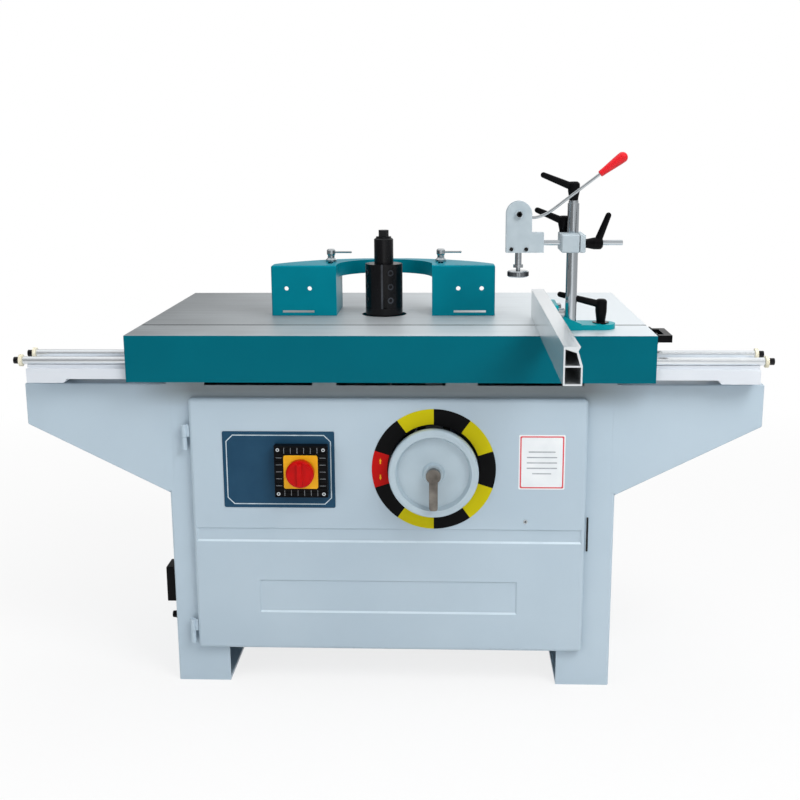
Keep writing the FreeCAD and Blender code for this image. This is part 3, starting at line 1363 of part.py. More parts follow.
def build_guard():
    wall = "guard_wall"
    across = ("guard_left", "guard_right")
    deep = ("guard_front", "guard_back")
    below = f"({guard_low} - {wall})"
    roof = f"({guard_top} - {wall})"
    bridge_low = f"({guard_top} - bridge_height)"

    # Its top ends in an arc, deep behind the cutter and slim at its ends, and it is open behind
    half_span = "((guard_right - guard_left) / 2)"
    rise = "(guard_back - guard_front - guard_end)"
    bow_radius = f"(({half_span} * {half_span} + {rise} * {rise}) / (2 * {rise}))"
    bow_at = ("(guard_left + guard_right) / 2", f"guard_back - {bow_radius}", below)
    height = "guard_height + 2 * guard_wall"
    slab = rounded_slab("guard_slab", across, deep, guard_low, guard_top, "guard_round")
    outer = common("guard_outer", slab, cylinder("guard_bow", bow_radius, bow_at, height))

    room_slab = box("guard_room_slab", (f"guard_left + {wall}", f"guard_right - {wall}"),
                    (f"guard_front + {wall}", f"guard_back + {wall}"), (below, roof))
    passage_walls = box("guard_passage_walls", (f"{throat_left} - {wall}", f"{throat_right} + {wall}"),
                        (f"guard_front - {wall}", f"guard_back + {wall}"), (f"{below} - {wall}", guard_top))
    room = cut("guard_room", room_slab, [passage_walls])

    # The work passes in front of the cutter, and chips leave under the bridge
    passage = box("guard_passage", (throat_left, throat_right),
                  (f"guard_front - {wall}", f"guard_back + {wall}"),
                  (below, bridge_low))
    above = f"{guard_top} + {wall}"
    arch = cylinder("throat_arch", "throat_radius", ("throat_across", "spindle_back", below),
                    f"{above} - {below}")
    mouth = box("throat_mouth", (throat_left, throat_right), (f"guard_front - {wall}", "spindle_back"),
                (below, above))
    tools = [room, passage, arch, mouth]
    for name, middle in (("left", "board_left"), ("right", "board_right")):
        for index, sign in enumerate(("-", "+")):
            tools.append(cylinder(f"board_hole_{name}_{index}", "board_hole",
                                  (f"{middle} {sign} board_pitch / 2", f"guard_front - {wall}",
                                   "table_top + board_up"),
                                  f"2 * {wall}", "y"))
        tools.append(box(f"foot_slot_{name}", (f"{middle} - foot_slot_length / 2",
                                               f"{middle} + foot_slot_length / 2"),
                         (f"guard_front - {wall}", f"guard_front + {wall}"),
                         (f"{guard_low} + foot_slot_rise",
                          f"{guard_low} + foot_slot_rise + foot_slot_height")))
    for side, sign in sides:
        middle = f"throat_across {sign or '+'} stud_spread"
        tools.append(box(f"{side}_stud_slot", (f"{middle} - stud_slot / 2", f"{middle} + stud_slot / 2"),
                         ("stud_back - guard_backward - stud_slot / 2",
                          "stud_back + guard_forward + stud_slot / 2"),
                         (f"{roof} - {wall}", above)))
    node("spindle_guard", cut("spindle_guard", outer, tools))

    hub_low = f"({guard_top} + face_gap)"
    for side, sign in sides:
        middle = f"throat_across {sign or '+'} stud_spread"
        at = (middle, "stud_back")
        stud = cylinder(f"{side}_stud", "stud_radius", (*at, "table_top - stud_seat"),
                        f"{hub_low} - table_top + stud_seat")
        waist = "tommy_hub - tommy_waist"
        profile = [("0", "0"), ("tommy_hub + tommy_flare", "0"), ("tommy_hub + tommy_flare", "tommy_foot"),
                   (waist, "tommy_foot + tommy_flare + edge_break"), (waist, "tommy_height / 2"),
                   ("tommy_hub", "tommy_height / 2 + tommy_flare"), ("tommy_hub",
                                                                     "tommy_height - tommy_flare"),
                   ("tommy_hub - tommy_flare", "tommy_height"), ("0", "tommy_height")]
        hub = turned(f"{side}_tommy_hub", profile, (*at, hub_low))
        bar = cylinder(f"{side}_tommy_bar", "tommy_bar", (middle, "stud_back", f"{hub_low} + tommy_up"),
                       "tommy_reach", "x")
        knob = ball(f"{side}_tommy_ball", "tommy_ball",
                    (f"{middle} + tommy_reach", "stud_back", f"{hub_low} + tommy_up"))
        node(f"guard_clamp_{side}", fuse(f"guard_clamp_{side}", [stud, hub, bar, knob]))


def build_mitre():
    plate_low = "(table_top + face_gap)"
    plate_level = (plate_low, "table_top + bracket_plate")
    plate = box("bracket_base", (fence_right, "bracket_end_across"),
                ("bracket_end_back - bracket_end_radius",
                 "bracket_end_back + bracket_end_radius"), plate_level)
    end = cylinder("bracket_end", "bracket_end_radius", ("bracket_end_across", "bracket_end_back", plate_low),
                   "bracket_plate - face_gap")
    flange = prism("bracket_flange_plate", "YZ_Plane",
                   [("bracket_front", plate_low), ("bracket_back", plate_low),
                    ("bracket_back", "table_top + bracket_height"),
                    ("bracket_front + bracket_height / 2", "table_top + bracket_height"),
                    ("bracket_front", "table_top + bracket_height / 2")],
                   fence_right, f"{fence_right} + bracket_flange")
    plate_top = "(table_top + bracket_plate)"
    gusset_end = "(post_across + gusset_reach)"
    gusset = prism("bracket_gusset", "XZ_Plane",
                   [(fence_right, plate_low), (gusset_end, plate_low),
                    (gusset_end, f"{plate_top} + gusset_rise"),
                    ("post_across - post_radius", "table_top + gusset_waist"),
                    (f"{fence_right} + bracket_flange", "table_top + bracket_height"),
                    (fence_right, "table_top + bracket_height")],
                   "post_back - gusset_half", "post_back + gusset_half")
    body = fuse("bracket_body", [plate, end, flange, gusset])

    # The curved slot is a sector of a ring about the post, with round ends
    post_at = ("post_across", "post_back", "table_top - bracket_plate")
    sector = cylinder("slot_sector", "mitre_reach + mitre_slot / 2", post_at, "3 * bracket_plate")
    bind(sector, "Angle", "2 * mitre_swing")
    lean(sector, z_axis, "mitre_bearing - mitre_swing")
    core = cylinder("slot_core", "mitre_reach - mitre_slot / 2", post_at, "3 * bracket_plate")
    tools = [cut("mitre_slot_ring", sector, [core])]
    for name, sign in (("start", "-"), ("finish", "+")):
        angle = f"(mitre_bearing {sign} mitre_swing)"
        tools.append(cylinder(f"slot_{name}", "mitre_slot / 2",
                              (f"post_across + mitre_reach * cos({angle})",
                               f"post_back + mitre_reach * sin({angle})",
                               "table_top - bracket_plate"), "3 * bracket_plate"))
    tools.append(cylinder("post_bore", "post_radius + running_fit",
                          ("post_across", "post_back", plate_top), "bracket_height"))
    tools.append(cylinder("spigot_bore", "post_spigot + running_fit", post_at, "3 * bracket_plate"))
    bolt_rows = [f"fence_bolt_middle {sign} fence_bolt_pitch / 2" for sign in ("-", "+")]
    for index, deep in enumerate(bolt_rows):
        tools.append(cylinder(f"bracket_bolt_hole_{index}", "fence_bolt_radius + press_fit",
                              (fence_right, deep, f"{fence_low} + fence_bolt_up"), "bracket_flange", "x"))
    node("mitre_bracket", cut("mitre_bracket", body, tools))

    build_fence(bolt_rows)


def build_fence(bolt_rows):
    wall = "fence_wall"
    top = f"({fence_low} + fence_height)"
    middle = f"({fence_low} + fence_middle)"
    bar = prism("fence_bar", "XZ_Plane",
                [("fence_left", fence_low), (fence_right, fence_low), (fence_right, middle),
                 (f"{fence_right} - fence_slope",
                  f"{top} - fence_slope"), (f"{fence_right} - fence_slope / 2", top),
                 ("fence_left", top)], "fence_front", "fence_back")
    run = (f"fence_front - {wall}", f"fence_back + {wall}")
    lower = prism("fence_lower_room", "XZ_Plane",
                  rectangle((f"fence_left + {wall}", f"{fence_right} - {wall}"),
                            (f"{fence_low} + {wall}", f"{middle} - {wall}")), *run)
    upper = prism("fence_upper_room", "XZ_Plane",
                  [(f"fence_left + {wall}", middle), (f"{fence_right} - {wall} * 1.5", middle),
                   (f"{fence_right} - fence_slope - {wall}", f"{top} - fence_slope - {wall}"),
                   (f"fence_left + {wall}", f"{top} - {wall} * 1.5")], *run)
    holes = [cylinder(f"fence_bolt_hole_{index}", "fence_bolt_radius + press_fit",
                      (fence_right, deep, f"{fence_low} + fence_bolt_up"), "fence_width / 2", "-x")
             for index, deep in enumerate(bolt_rows)]
    node("cross_fence", cut("cross_fence", bar, [lower, upper] + holes))
    bolts = []
    for index, deep in enumerate(bolt_rows):
        face = f"{fence_right} + bracket_flange"
        profile = [("0", "-bracket_flange - fence_wall * 2"),
                   ("fence_bolt_radius", "-bracket_flange - fence_wall * 2"),
                   ("fence_bolt_radius", "0"), ("fence_bolt_head", "0"),
                   ("fence_bolt_head", "fence_bolt_head_width - edge_break"),
                   ("fence_bolt_head - edge_break", "fence_bolt_head_width"),
                   ("0", "fence_bolt_head_width")]
        bolts.append(turned(f"fence_bolt_{index}", profile, (face, deep, f"{fence_low} + fence_bolt_up"), "x"))
    node("fence_bolts", group("fence_bolts", bolts))


# A clamp lever's hub widens from its foot to its head, which carries the arm
def lever_hub_profile(height):
    return [("0", "0"), ("hub_foot", "0"), ("hub_foot", "hub_edge"), ("hub_radius", f"{height} / 2"),
            ("hub_radius", f"{height} - hub_edge"), ("hub_radius - hub_edge", height), ("0", height)]


def clamp_lever(name, at, height, arm_length, arm_lean, screw, screw_reach, direction="z"):
    hub = turned(f"{name}_hub", lever_hub_profile(height), at, direction)
    spin = {"z": (0, 0, 1), "x": (1, 0, 0)}[direction]
    arm_at = [f"{place_text} + {step} * ({height} - hub_radius)" for place_text, step in zip(at, spin)]
    arm = lean(cone(f"{name}_arm", "arm_root", "arm_tip", arm_at, arm_length), y_axis, arm_lean)
    end_at = (f"{arm_at[0]} + {arm_length} * sin({arm_lean})", arm_at[1],
              f"{arm_at[2]} + {arm_length} * cos({arm_lean})")
    knob = ball(f"{name}_end", "arm_tip", end_at)
    backwards = {"z": "-z", "x": "-x"}[direction]
    stud = cylinder(f"{name}_stud", screw, at, screw_reach, backwards)
    return node(name, fuse(name, [hub, arm, knob, stud]))


def build_base_lever():
    seat = "table_top + bracket_plate + face_gap"
    clamp_lever("base_lever", (base_lever_across, base_lever_back, f"({seat})"), "base_hub_height",
                "base_arm_length", "base_arm_lean", "base_stud", "bracket_plate + face_gap + base_stud_reach")


def build_post():
    at = ("post_across", "post_back")
    low = f"({plate_under} + face_gap)"
    profile = [("0", "0"), ("post_spigot", "0"), ("post_spigot", f"table_top + bracket_plate - {low}"),
               ("post_radius", f"table_top + bracket_plate - {low}"), ("post_radius", f"post_top - {low}"),
               ("post_cap_radius", f"post_top - {low}"), ("post_cap_radius",
                                                          f"post_top - {low} + post_cap_height"),
               ("post_pin + running_fit", f"post_top - {low} + post_cap_height"),
               ("post_pin + running_fit", f"post_top - {low} + post_cap_height - post_pin_reach - face_gap"),
               ("0", f"post_top - {low} + post_cap_height - post_pin_reach - face_gap")]
    node("clamp_post", turned("clamp_post", profile, (*at, low)))
    clamp_lever("post_lever", (*at, "(post_top + post_cap_height + face_gap)"), "post_hub_height",
                "post_arm_length",
                "post_arm_lean", "post_pin", "post_pin_reach")


def build_cross_block():
    block_top = "(block_low + block_height)"
    middle_up = "(block_low + block_height / 2)"
    block = prism("block_body", "XZ_Plane", rectangle(("block_left", "block_right"), ("block_low", block_top)),
                  "block_front", "block_back")
    soften(block, "block_round", lambda edge: True)
    post_bore = cylinder("block_post_bore", "post_radius + running_fit",
                         ("post_across", "post_back", "block_low - block_height"), "3 * block_height")
    arm_bore = cylinder("block_arm_bore", "arm_rod_radius + running_fit",
                        ("block_left - block_height", "arm_rod_front", middle_up),
                        "block_right - block_left + 2 * block_height", "x")
    slit = box("block_slit", ("slit_across", "slit_across + slit_width"),
               ("block_front - block_round", "post_back"),
               ("block_low - block_round", f"{block_top} + block_round"))
    side_hole = cylinder("side_screw_hole", "lever_screw + running_fit",
                         ("block_right", "side_lever_back", middle_up),
                         "lever_screw_reach + face_gap", "-x")
    rear_hole = cylinder("rear_screw_hole", "lever_screw + running_fit",
                         ("rear_lever_across", "rear_lever_back",
                          block_top), "lever_screw_reach + face_gap", "-z")
    node("cross_block", cut("cross_block", block, [post_bore, arm_bore, slit, side_hole, rear_hole]))
    clamp_lever("side_lever", ("(block_right + face_gap)", "side_lever_back", middle_up), "side_hub_height",
                "side_arm_length", "side_arm_tilt", "lever_screw", "lever_screw_reach", "x")
    clamp_lever("rear_lever", ("rear_lever_across", "rear_lever_back", f"({block_top} + face_gap)"),
                "rear_hub_height",
                "rear_arm_length", "rear_arm_lean", "lever_screw", "lever_screw_reach")


def build_clamp_head():
    middle_up = "(block_low + block_height / 2)"
    centre = "(head_left + head_right) / 2"
    deep = ("arm_rod_front - head_half", "arm_rod_front + head_half")
    rod_left = "(head_neck_right - arm_rod_seat)"
    rod = cylinder("clamp_arm", "arm_rod_radius", (rod_left, "arm_rod_front", middle_up),
                   f"arm_rod_right - {rod_left}", "x")
    node("clamp_arm", rod)

    base = box("head_base", ("head_left", "head_right"), deep, ("head_low", "head_low + head_base_height"))
    neck = box("head_neck", ("head_right", "head_neck_right"), deep,
               ("head_low", "head_low + head_neck_height"))
    pieces = [base, neck]
    for name, start in (("front", deep[0]), ("rear", f"{deep[1]} - head_plate")):
        pieces.append(box(f"head_{name}_plate", ("head_left", "head_right"), (start, f"{start} + head_plate"),
                          ("head_low", "cam_up")))
        pieces.append(cylinder(f"head_{name}_round", "(head_right - head_left) / 2", (centre, start, "cam_up"),
                               "head_plate", "y"))
    pin = cylinder("cam_pin_rod", "cam_pin", (centre, f"{deep[0]} - cam_pin_head_width", "cam_up"),
                   "2 * head_half + 2 * cam_pin_head_width", "y")
    heads = [cylinder("cam_pin_front", "cam_pin_head", (centre, deep[0], "cam_up"), "cam_pin_head_width",
                      "-y"),
             cylinder("cam_pin_rear", "cam_pin_head", (centre, deep[1], "cam_up"), "cam_pin_head_width", "y")]
    plunger_bore = cylinder("plunger_bore", "plunger_radius + running_fit",
                            (centre, "arm_rod_front", "head_low - edge_break"),
                            "head_base_height + 2 * edge_break")
    rod_bore = cylinder("head_rod_bore", "arm_rod_radius + press_fit", (rod_left, "arm_rod_front", middle_up),
                        "2 * arm_rod_seat", "x")
    body = cut("head_body", fuse("head_pieces", pieces), [plunger_bore, rod_bore])
    node("clamp_head", fuse("clamp_head", [body, pin] + heads))

    # The cam is a disc set off its pin, so that lowering the handle drives the plunger down
    offset_across = "cam_throw * cos(cam_angle)"
    offset_up = "cam_throw * sin(cam_angle)"
    cam_start = "arm_rod_front - cam_half"
    disc = cylinder("cam_disc", "cam_radius", (f"{centre} + {offset_across}", cam_start,
                                               f"cam_up - {offset_up}"),
                    "2 * cam_half", "y")
    elbow = (f"{centre} + cam_neck_reach", "arm_rod_front", "cam_up + cam_neck_rise")
    neck_rod = cylinder("cam_neck", "cam_lever_radius",
                        (f"{centre} + cam_radius", "arm_rod_front", "cam_up + cam_neck_rise"),
                        "cam_neck_reach - cam_radius", "x")
    bend = ball("cam_bend", "cam_lever_radius", elbow)
    lever = leaning_rod("cam_rod", "cam_lever_radius", elbow, "cam_lever_length", y_axis, "cam_lever_lean")
    cam_bore = cylinder("cam_bore", "cam_pin + running_fit", (centre, f"{cam_start} - cam_half", "cam_up"),
                        "4 * cam_half", "y")
    node("cam_lever", cut("cam_lever", fuse("cam_body", [disc, neck_rod, bend, lever]), [cam_bore]))

    grip_at = (f"{elbow[0]} + grip_start * sin(cam_lever_lean)", "arm_rod_front",
               f"{elbow[2]} + grip_start * cos(cam_lever_lean)")
    tip_at = (f"{elbow[0]} + (grip_start + grip_length) * sin(cam_lever_lean)", "arm_rod_front",
              f"{elbow[2]} + (grip_start + grip_length) * cos(cam_lever_lean)")
    sleeve = lean(cone("grip_sleeve", "grip_thin", "grip_thick", grip_at, "grip_length"), y_axis,
                  "cam_lever_lean")
    tip = ball("grip_tip", "grip_thick", tip_at)
    bore = leaning_rod("grip_bore", "cam_lever_radius + press_fit", elbow, "cam_lever_length + press_fit",
                       y_axis,
                       "cam_lever_lean")
    node("cam_grip", cut("cam_grip", fuse("grip_body", [sleeve, tip]), [bore]))

    foot_low = "(plunger_low - plunger_neck_height - plunger_foot_height)"
    shaft_end = f"(cam_up - cam_radius - {offset_up} - cam_rest_gap - {foot_low})"
    neck_low = "plunger_foot_height"
    collar_low = "plunger_foot_height + plunger_neck_height"
    profile = [("0", "0"), ("plunger_foot_radius - edge_break", "0"), ("plunger_foot_radius", "edge_break"),
               ("plunger_foot_radius", f"{neck_low} - edge_break"), ("plunger_foot_radius - edge_break",
                                                                     neck_low),
               ("plunger_neck", neck_low), ("plunger_neck", collar_low), ("plunger_collar", collar_low),
               ("plunger_collar", f"{collar_low} + plunger_collar_height"),
               ("plunger_radius", f"{collar_low} + plunger_collar_height"), ("plunger_radius", shaft_end),
               ("0", shaft_end)]
    node("plunger", turned("plunger", profile, (centre, "arm_rod_front", foot_low)))


def build_inlet():
    wall = f"-{cabinet_half}"
    outer = prism("inlet_box", "YZ_Plane",
                  rectangle(("inlet_front", "inlet_front + inlet_width"),
                            ("inlet_low", "inlet_low + inlet_height")),
                  f"{wall} - inlet_depth", wall)
    soften(outer, "cabinet_wall", lambda edge: runs_along(edge, x_axis))
    middle = "inlet_front + inlet_width / 2"
    gland_profile = [("gland_bore", "0"), ("gland_radius", "0"), ("gland_radius", "gland_reach / 2"),
                     ("gland_radius - edge_break", "gland_reach / 2"), ("gland_radius - gland_taper",
                                                                        "gland_reach"),
                     ("gland_bore", "gland_reach")]
    gland = turned("gland_body", gland_profile, (wall, middle, "gland_up"), "-x")
    node("power_inlet", group("power_inlet", [outer, gland]))


build_cabinet()
build_rear_panel()
build_wings()
build_main_table()
build_rail()
build_sliding_table()
build_door()
build_hinges()
build_switch()
build_handwheel()
build_lead_screw()
build_lift_frame()
build_carriage()
build_spindle()
build_guard()
build_mitre()
build_base_lever()
build_post()
build_cross_block()
build_clamp_head()
build_inlet()
doc.recompute()

# Nothing is written unless every object is sound
failed = [item.Label for item in doc.Objects if "Invalid" in item.State or "Error" in item.State]
failed += [name for name, item in parts.items() if item.Shape.isNull() or not item.Shape.isValid()]
if failed:
    raise RuntimeError(f"unsound objects: {failed}")
for name, item in parts.items():
    item.Shape.exportStep(f"parts/{name}.step")
    print(name, len(item.Shape.Solids), round(item.Shape.Volume / 1000, 1))
print(len(parts), "sub-parts")
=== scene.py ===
import json
import math
import bmesh
import bpy
from mathutils import Matrix, Vector


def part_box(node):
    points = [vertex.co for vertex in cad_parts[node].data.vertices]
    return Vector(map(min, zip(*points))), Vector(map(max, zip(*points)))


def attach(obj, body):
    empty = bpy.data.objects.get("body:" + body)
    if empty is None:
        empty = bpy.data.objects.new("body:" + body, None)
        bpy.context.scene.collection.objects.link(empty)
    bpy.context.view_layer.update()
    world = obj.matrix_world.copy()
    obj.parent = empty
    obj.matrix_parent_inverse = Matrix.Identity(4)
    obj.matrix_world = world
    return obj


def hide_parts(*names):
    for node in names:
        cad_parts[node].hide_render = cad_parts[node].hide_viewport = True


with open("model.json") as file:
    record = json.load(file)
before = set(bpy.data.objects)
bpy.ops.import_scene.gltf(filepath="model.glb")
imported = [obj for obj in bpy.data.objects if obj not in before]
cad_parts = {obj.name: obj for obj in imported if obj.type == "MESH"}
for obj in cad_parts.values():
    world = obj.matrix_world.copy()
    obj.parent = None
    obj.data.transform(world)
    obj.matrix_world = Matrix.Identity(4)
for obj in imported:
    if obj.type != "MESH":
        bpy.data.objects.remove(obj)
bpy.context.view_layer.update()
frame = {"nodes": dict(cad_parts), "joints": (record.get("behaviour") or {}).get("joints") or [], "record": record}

nodes = frame["nodes"]
millimetre = 0.001
bodyOf = {name: body for body, names in frame["record"]["behaviour"]["bodies"].items() for name in names}
slotOf = {row["node"]: row["material_slot"] for row in frame["record"]["subparts"]}
print("frame loaded:", len(nodes), "nodes")


def colour(red, green, blue):  # screen values 0 to 255, as linear light
    def linear(value):
        value /= 255
        return value / 12.92 if value <= 0.04045 else ((value + 0.055) / 1.055) ** 2.4

    return (linear(red), linear(green), linear(blue), 1.0)


def between(ends, share):  # the first end at share 0, the second at 1
    return ends[0] + (ends[1] - ends[0]) * share


class Wire:  # one output socket, with arithmetic
    def __init__(self, owner, socket):
        self.owner = owner
        self.socket = socket

    def out(self, name):  # another output of the same node
        return Wire(self.owner, self.socket.node.outputs[name])

    def math(self, operation, *values):
        return self.owner.node("ShaderNodeMath", {"operation": operation}, dict(enumerate(values)))

    def __add__(self, other):
        return self.math("ADD", self, other)

    def __sub__(self, other):
        return self.math("SUBTRACT", self, other)

    def __rsub__(self, other):
        return self.math("SUBTRACT", other, self)

    def __mul__(self, other):
        return self.math("MULTIPLY", self, other)

    def __gt__(self, other):
        return self.math("GREATER_THAN", self, other)

    def __lt__(self, other):
        return self.math("LESS_THAN", self, other)

    __radd__, __rmul__ = __add__, __mul__


class Tree:  # a node tree under construction
    def __init__(self, tree):
        self.tree = tree
        self.tree.nodes.clear()

    def node(self, kind, settings, sockets, output=0):
        made = self.tree.nodes.new(kind)
        for key, setting in settings.items():
            setattr(made, key, setting)
        for key, given in sockets.items():
            if isinstance(given, Wire):
                self.tree.links.new(given.socket, made.inputs[key])
            else:
                made.inputs[key].default_value = given
        return None if output is None else Wire(self, made.outputs[output])

    def ramp(self, value, low, high, start=0.0, end=1.0):  # start at low, end at high, level beyond them
        return self.node("ShaderNodeMapRange", {"clamp": True}, {
            "Value": value, "From Min": low, "From Max": high, "To Min": start, "To Max": end})


class Finish(Tree):  # a material
    def __init__(self, name):
        self.material = bpy.data.materials.new(name)
        self.material.use_nodes = True
        super().__init__(self.material.node_tree)
        self.place = self.node("ShaderNodeTexCoord", {}, {}, "Object")

    def axes(self):
        split = self.node("ShaderNodeSeparateXYZ", {}, {"Vector": self.place})
        return [split.out(letter) for letter in "XYZ"]

    def noise(self, scale, stretch=(1, 1, 1), detail=3.0):
        along = self.node("ShaderNodeMapping", {}, {"Vector": self.place, "Scale": stretch})
        return self.node("ShaderNodeTexNoise", {}, {"Vector": along, "Scale": scale, "Detail": detail})

    def blend(self, factor, *tones):  # each tone is a wire or screen values
        first, second = (tone if isinstance(tone, Wire) else colour(*tone) for tone in tones)
        mix = {0: factor, 6: first, 7: second}  # the numbers of the mix's colour sockets
        return self.node("ShaderNodeMix", {"data_type": "RGBA"}, mix, 2)

    def bump(self, relief, height):  # height in millimetres
        return self.node("ShaderNodeBump", {}, {"Height": relief, "Distance": height * millimetre})

    def surface(self, sockets):
        shader = self.node("ShaderNodeBsdfPrincipled", {}, sockets)
        self.node("ShaderNodeOutputMaterial", {}, {"Surface": shader}, None)
        return self.material


class Growth(Tree):  # a geometry tree that sets copies of a shape on points
    def __init__(self, name, sizes):
        super().__init__(bpy.data.node_groups.new(name, "GeometryNodeTree"))
        face = self.tree.interface
        face.new_socket(name="Geometry", in_out="OUTPUT", socket_type="NodeSocketGeometry")
        kinds = {"Geometry": "NodeSocketGeometry", "Finish": "NodeSocketMaterial"}
        kinds.update({size: "NodeSocketFloat" for size in sizes})
        self.sizes = sizes
        self.keys = {}
        for given, kind in kinds.items():
            self.keys[given] = face.new_socket(name=given, in_out="INPUT", socket_type=kind).identifier
        self.given = self.node("NodeGroupInput", {}, {}, "Geometry")

    def settle(self, shape):  # copies on the points, turned as each point says
        turn = self.node("GeometryNodeInputNamedAttribute", {"data_type": "FLOAT_VECTOR"}, {"Name": "facing"})
        copies = self.node("GeometryNodeInstanceOnPoints", {}, {
            "Points": self.given, "Instance": shape, "Rotation": turn})
        whole = self.node("GeometryNodeRealizeInstances", {}, {"Geometry": copies})
        dressed = self.node("GeometryNodeSetMaterial", {}, {
            "Geometry": whole, "Material": self.given.out("Finish")})
        self.node("NodeGroupOutput", {}, {"Geometry": dressed}, None)

    def grow(self, name, places, size, finish):  # places: (point, euler turn) pairs
        mesh = bpy.data.meshes.new(name)
        mesh.from_pydata([place for place, _ in places], [], [])
        facing = mesh.attributes.new("facing", "FLOAT_VECTOR", "POINT")
        for row, (_, turn) in zip(facing.data, places):
            row.vector = turn
        piece = addPiece(name, mesh)
        grower = piece.modifiers.new(name, "NODES")
        grower.node_group = self.tree
        for key in self.sizes:
            grower[self.keys[key]] = size[key]
        grower[self.keys["Finish"]] = finishes[finish]
        settled(piece)
        return piece


def addPiece(name, mesh):
    piece = bpy.data.objects.new(name, mesh)
    bpy.context.scene.collection.objects.link(piece)
    return piece


def evaluated(piece):  # its modifiers' or curve's result as a plain mesh
    return bpy.data.meshes.new_from_object(piece.evaluated_get(bpy.context.evaluated_depsgraph_get()))


def settled(piece):  # the piece keeps that mesh and loses its modifiers
    mesh = evaluated(piece)
    piece.modifiers.clear()
    piece.data = mesh
    return mesh


def cutBy(piece, cutters):  # the cutters are used up
    for cutter in cutters:
        cut = piece.modifiers.new("cut", "BOOLEAN")
        cut.operation = "DIFFERENCE"
        cut.solver = "EXACT"
        cut.object = cutter
    mesh = settled(piece)
    for cutter in cutters:
        bpy.data.objects.remove(cutter)
    return mesh


def smooth(mesh, angle=32):
    mesh.polygons.foreach_set("use_smooth", [True] * len(mesh.polygons))
    mesh.set_sharp_from_angle(angle=math.radians(angle))


def formed(name, form, *finishNames):  # a piece from a finished bmesh
    mesh = bpy.data.meshes.new(name)
    form.to_mesh(mesh)
    form.free()
    smooth(mesh)
    for finish in finishNames:
        mesh.materials.append(finishes[finish])
    return addPiece(name, mesh)


grained = {"detail": 5.0, "patchEnds": (0.3, 0.7), "coatRoughness": 0.12, "specular": 0.4}


# Finishes that have two tones, a fine grain and an even sheen
def grainedFinish(name, look):
    finish = Finish(name)
    stretch = look.get("stretch", evenly)
    patch = finish.noise(look["patch"], stretch, grained["detail"])
    grain = finish.noise(look["grain"], stretch)
    tone = finish.blend(finish.ramp(patch, *grained["patchEnds"]), look["dark"], look["light"])
    if "dust" in look:  # painted shade: darker close under the table's overhang
        dust = look["dust"]
        across, _, up = finish.axes()
        inward = finish.ramp(across.math("ABSOLUTE", across), dust["outer"], dust["inner"])
        tone = finish.blend(inward * finish.ramp(up, dust["low"], dust["high"]), tone, dust["tone"])
    return finish.surface({
        "Base Color": tone,
        "Roughness": between(look["roughness"], patch),
        "Metallic": look.get("metallic", 0.0),
        "Coat Weight": look.get("coat", 0.0),
        "Coat Roughness": grained["coatRoughness"],
        "Specular IOR Level": look.get("specular", grained["specular"]),
        "Normal": finish.bump(grain, look["height"])})


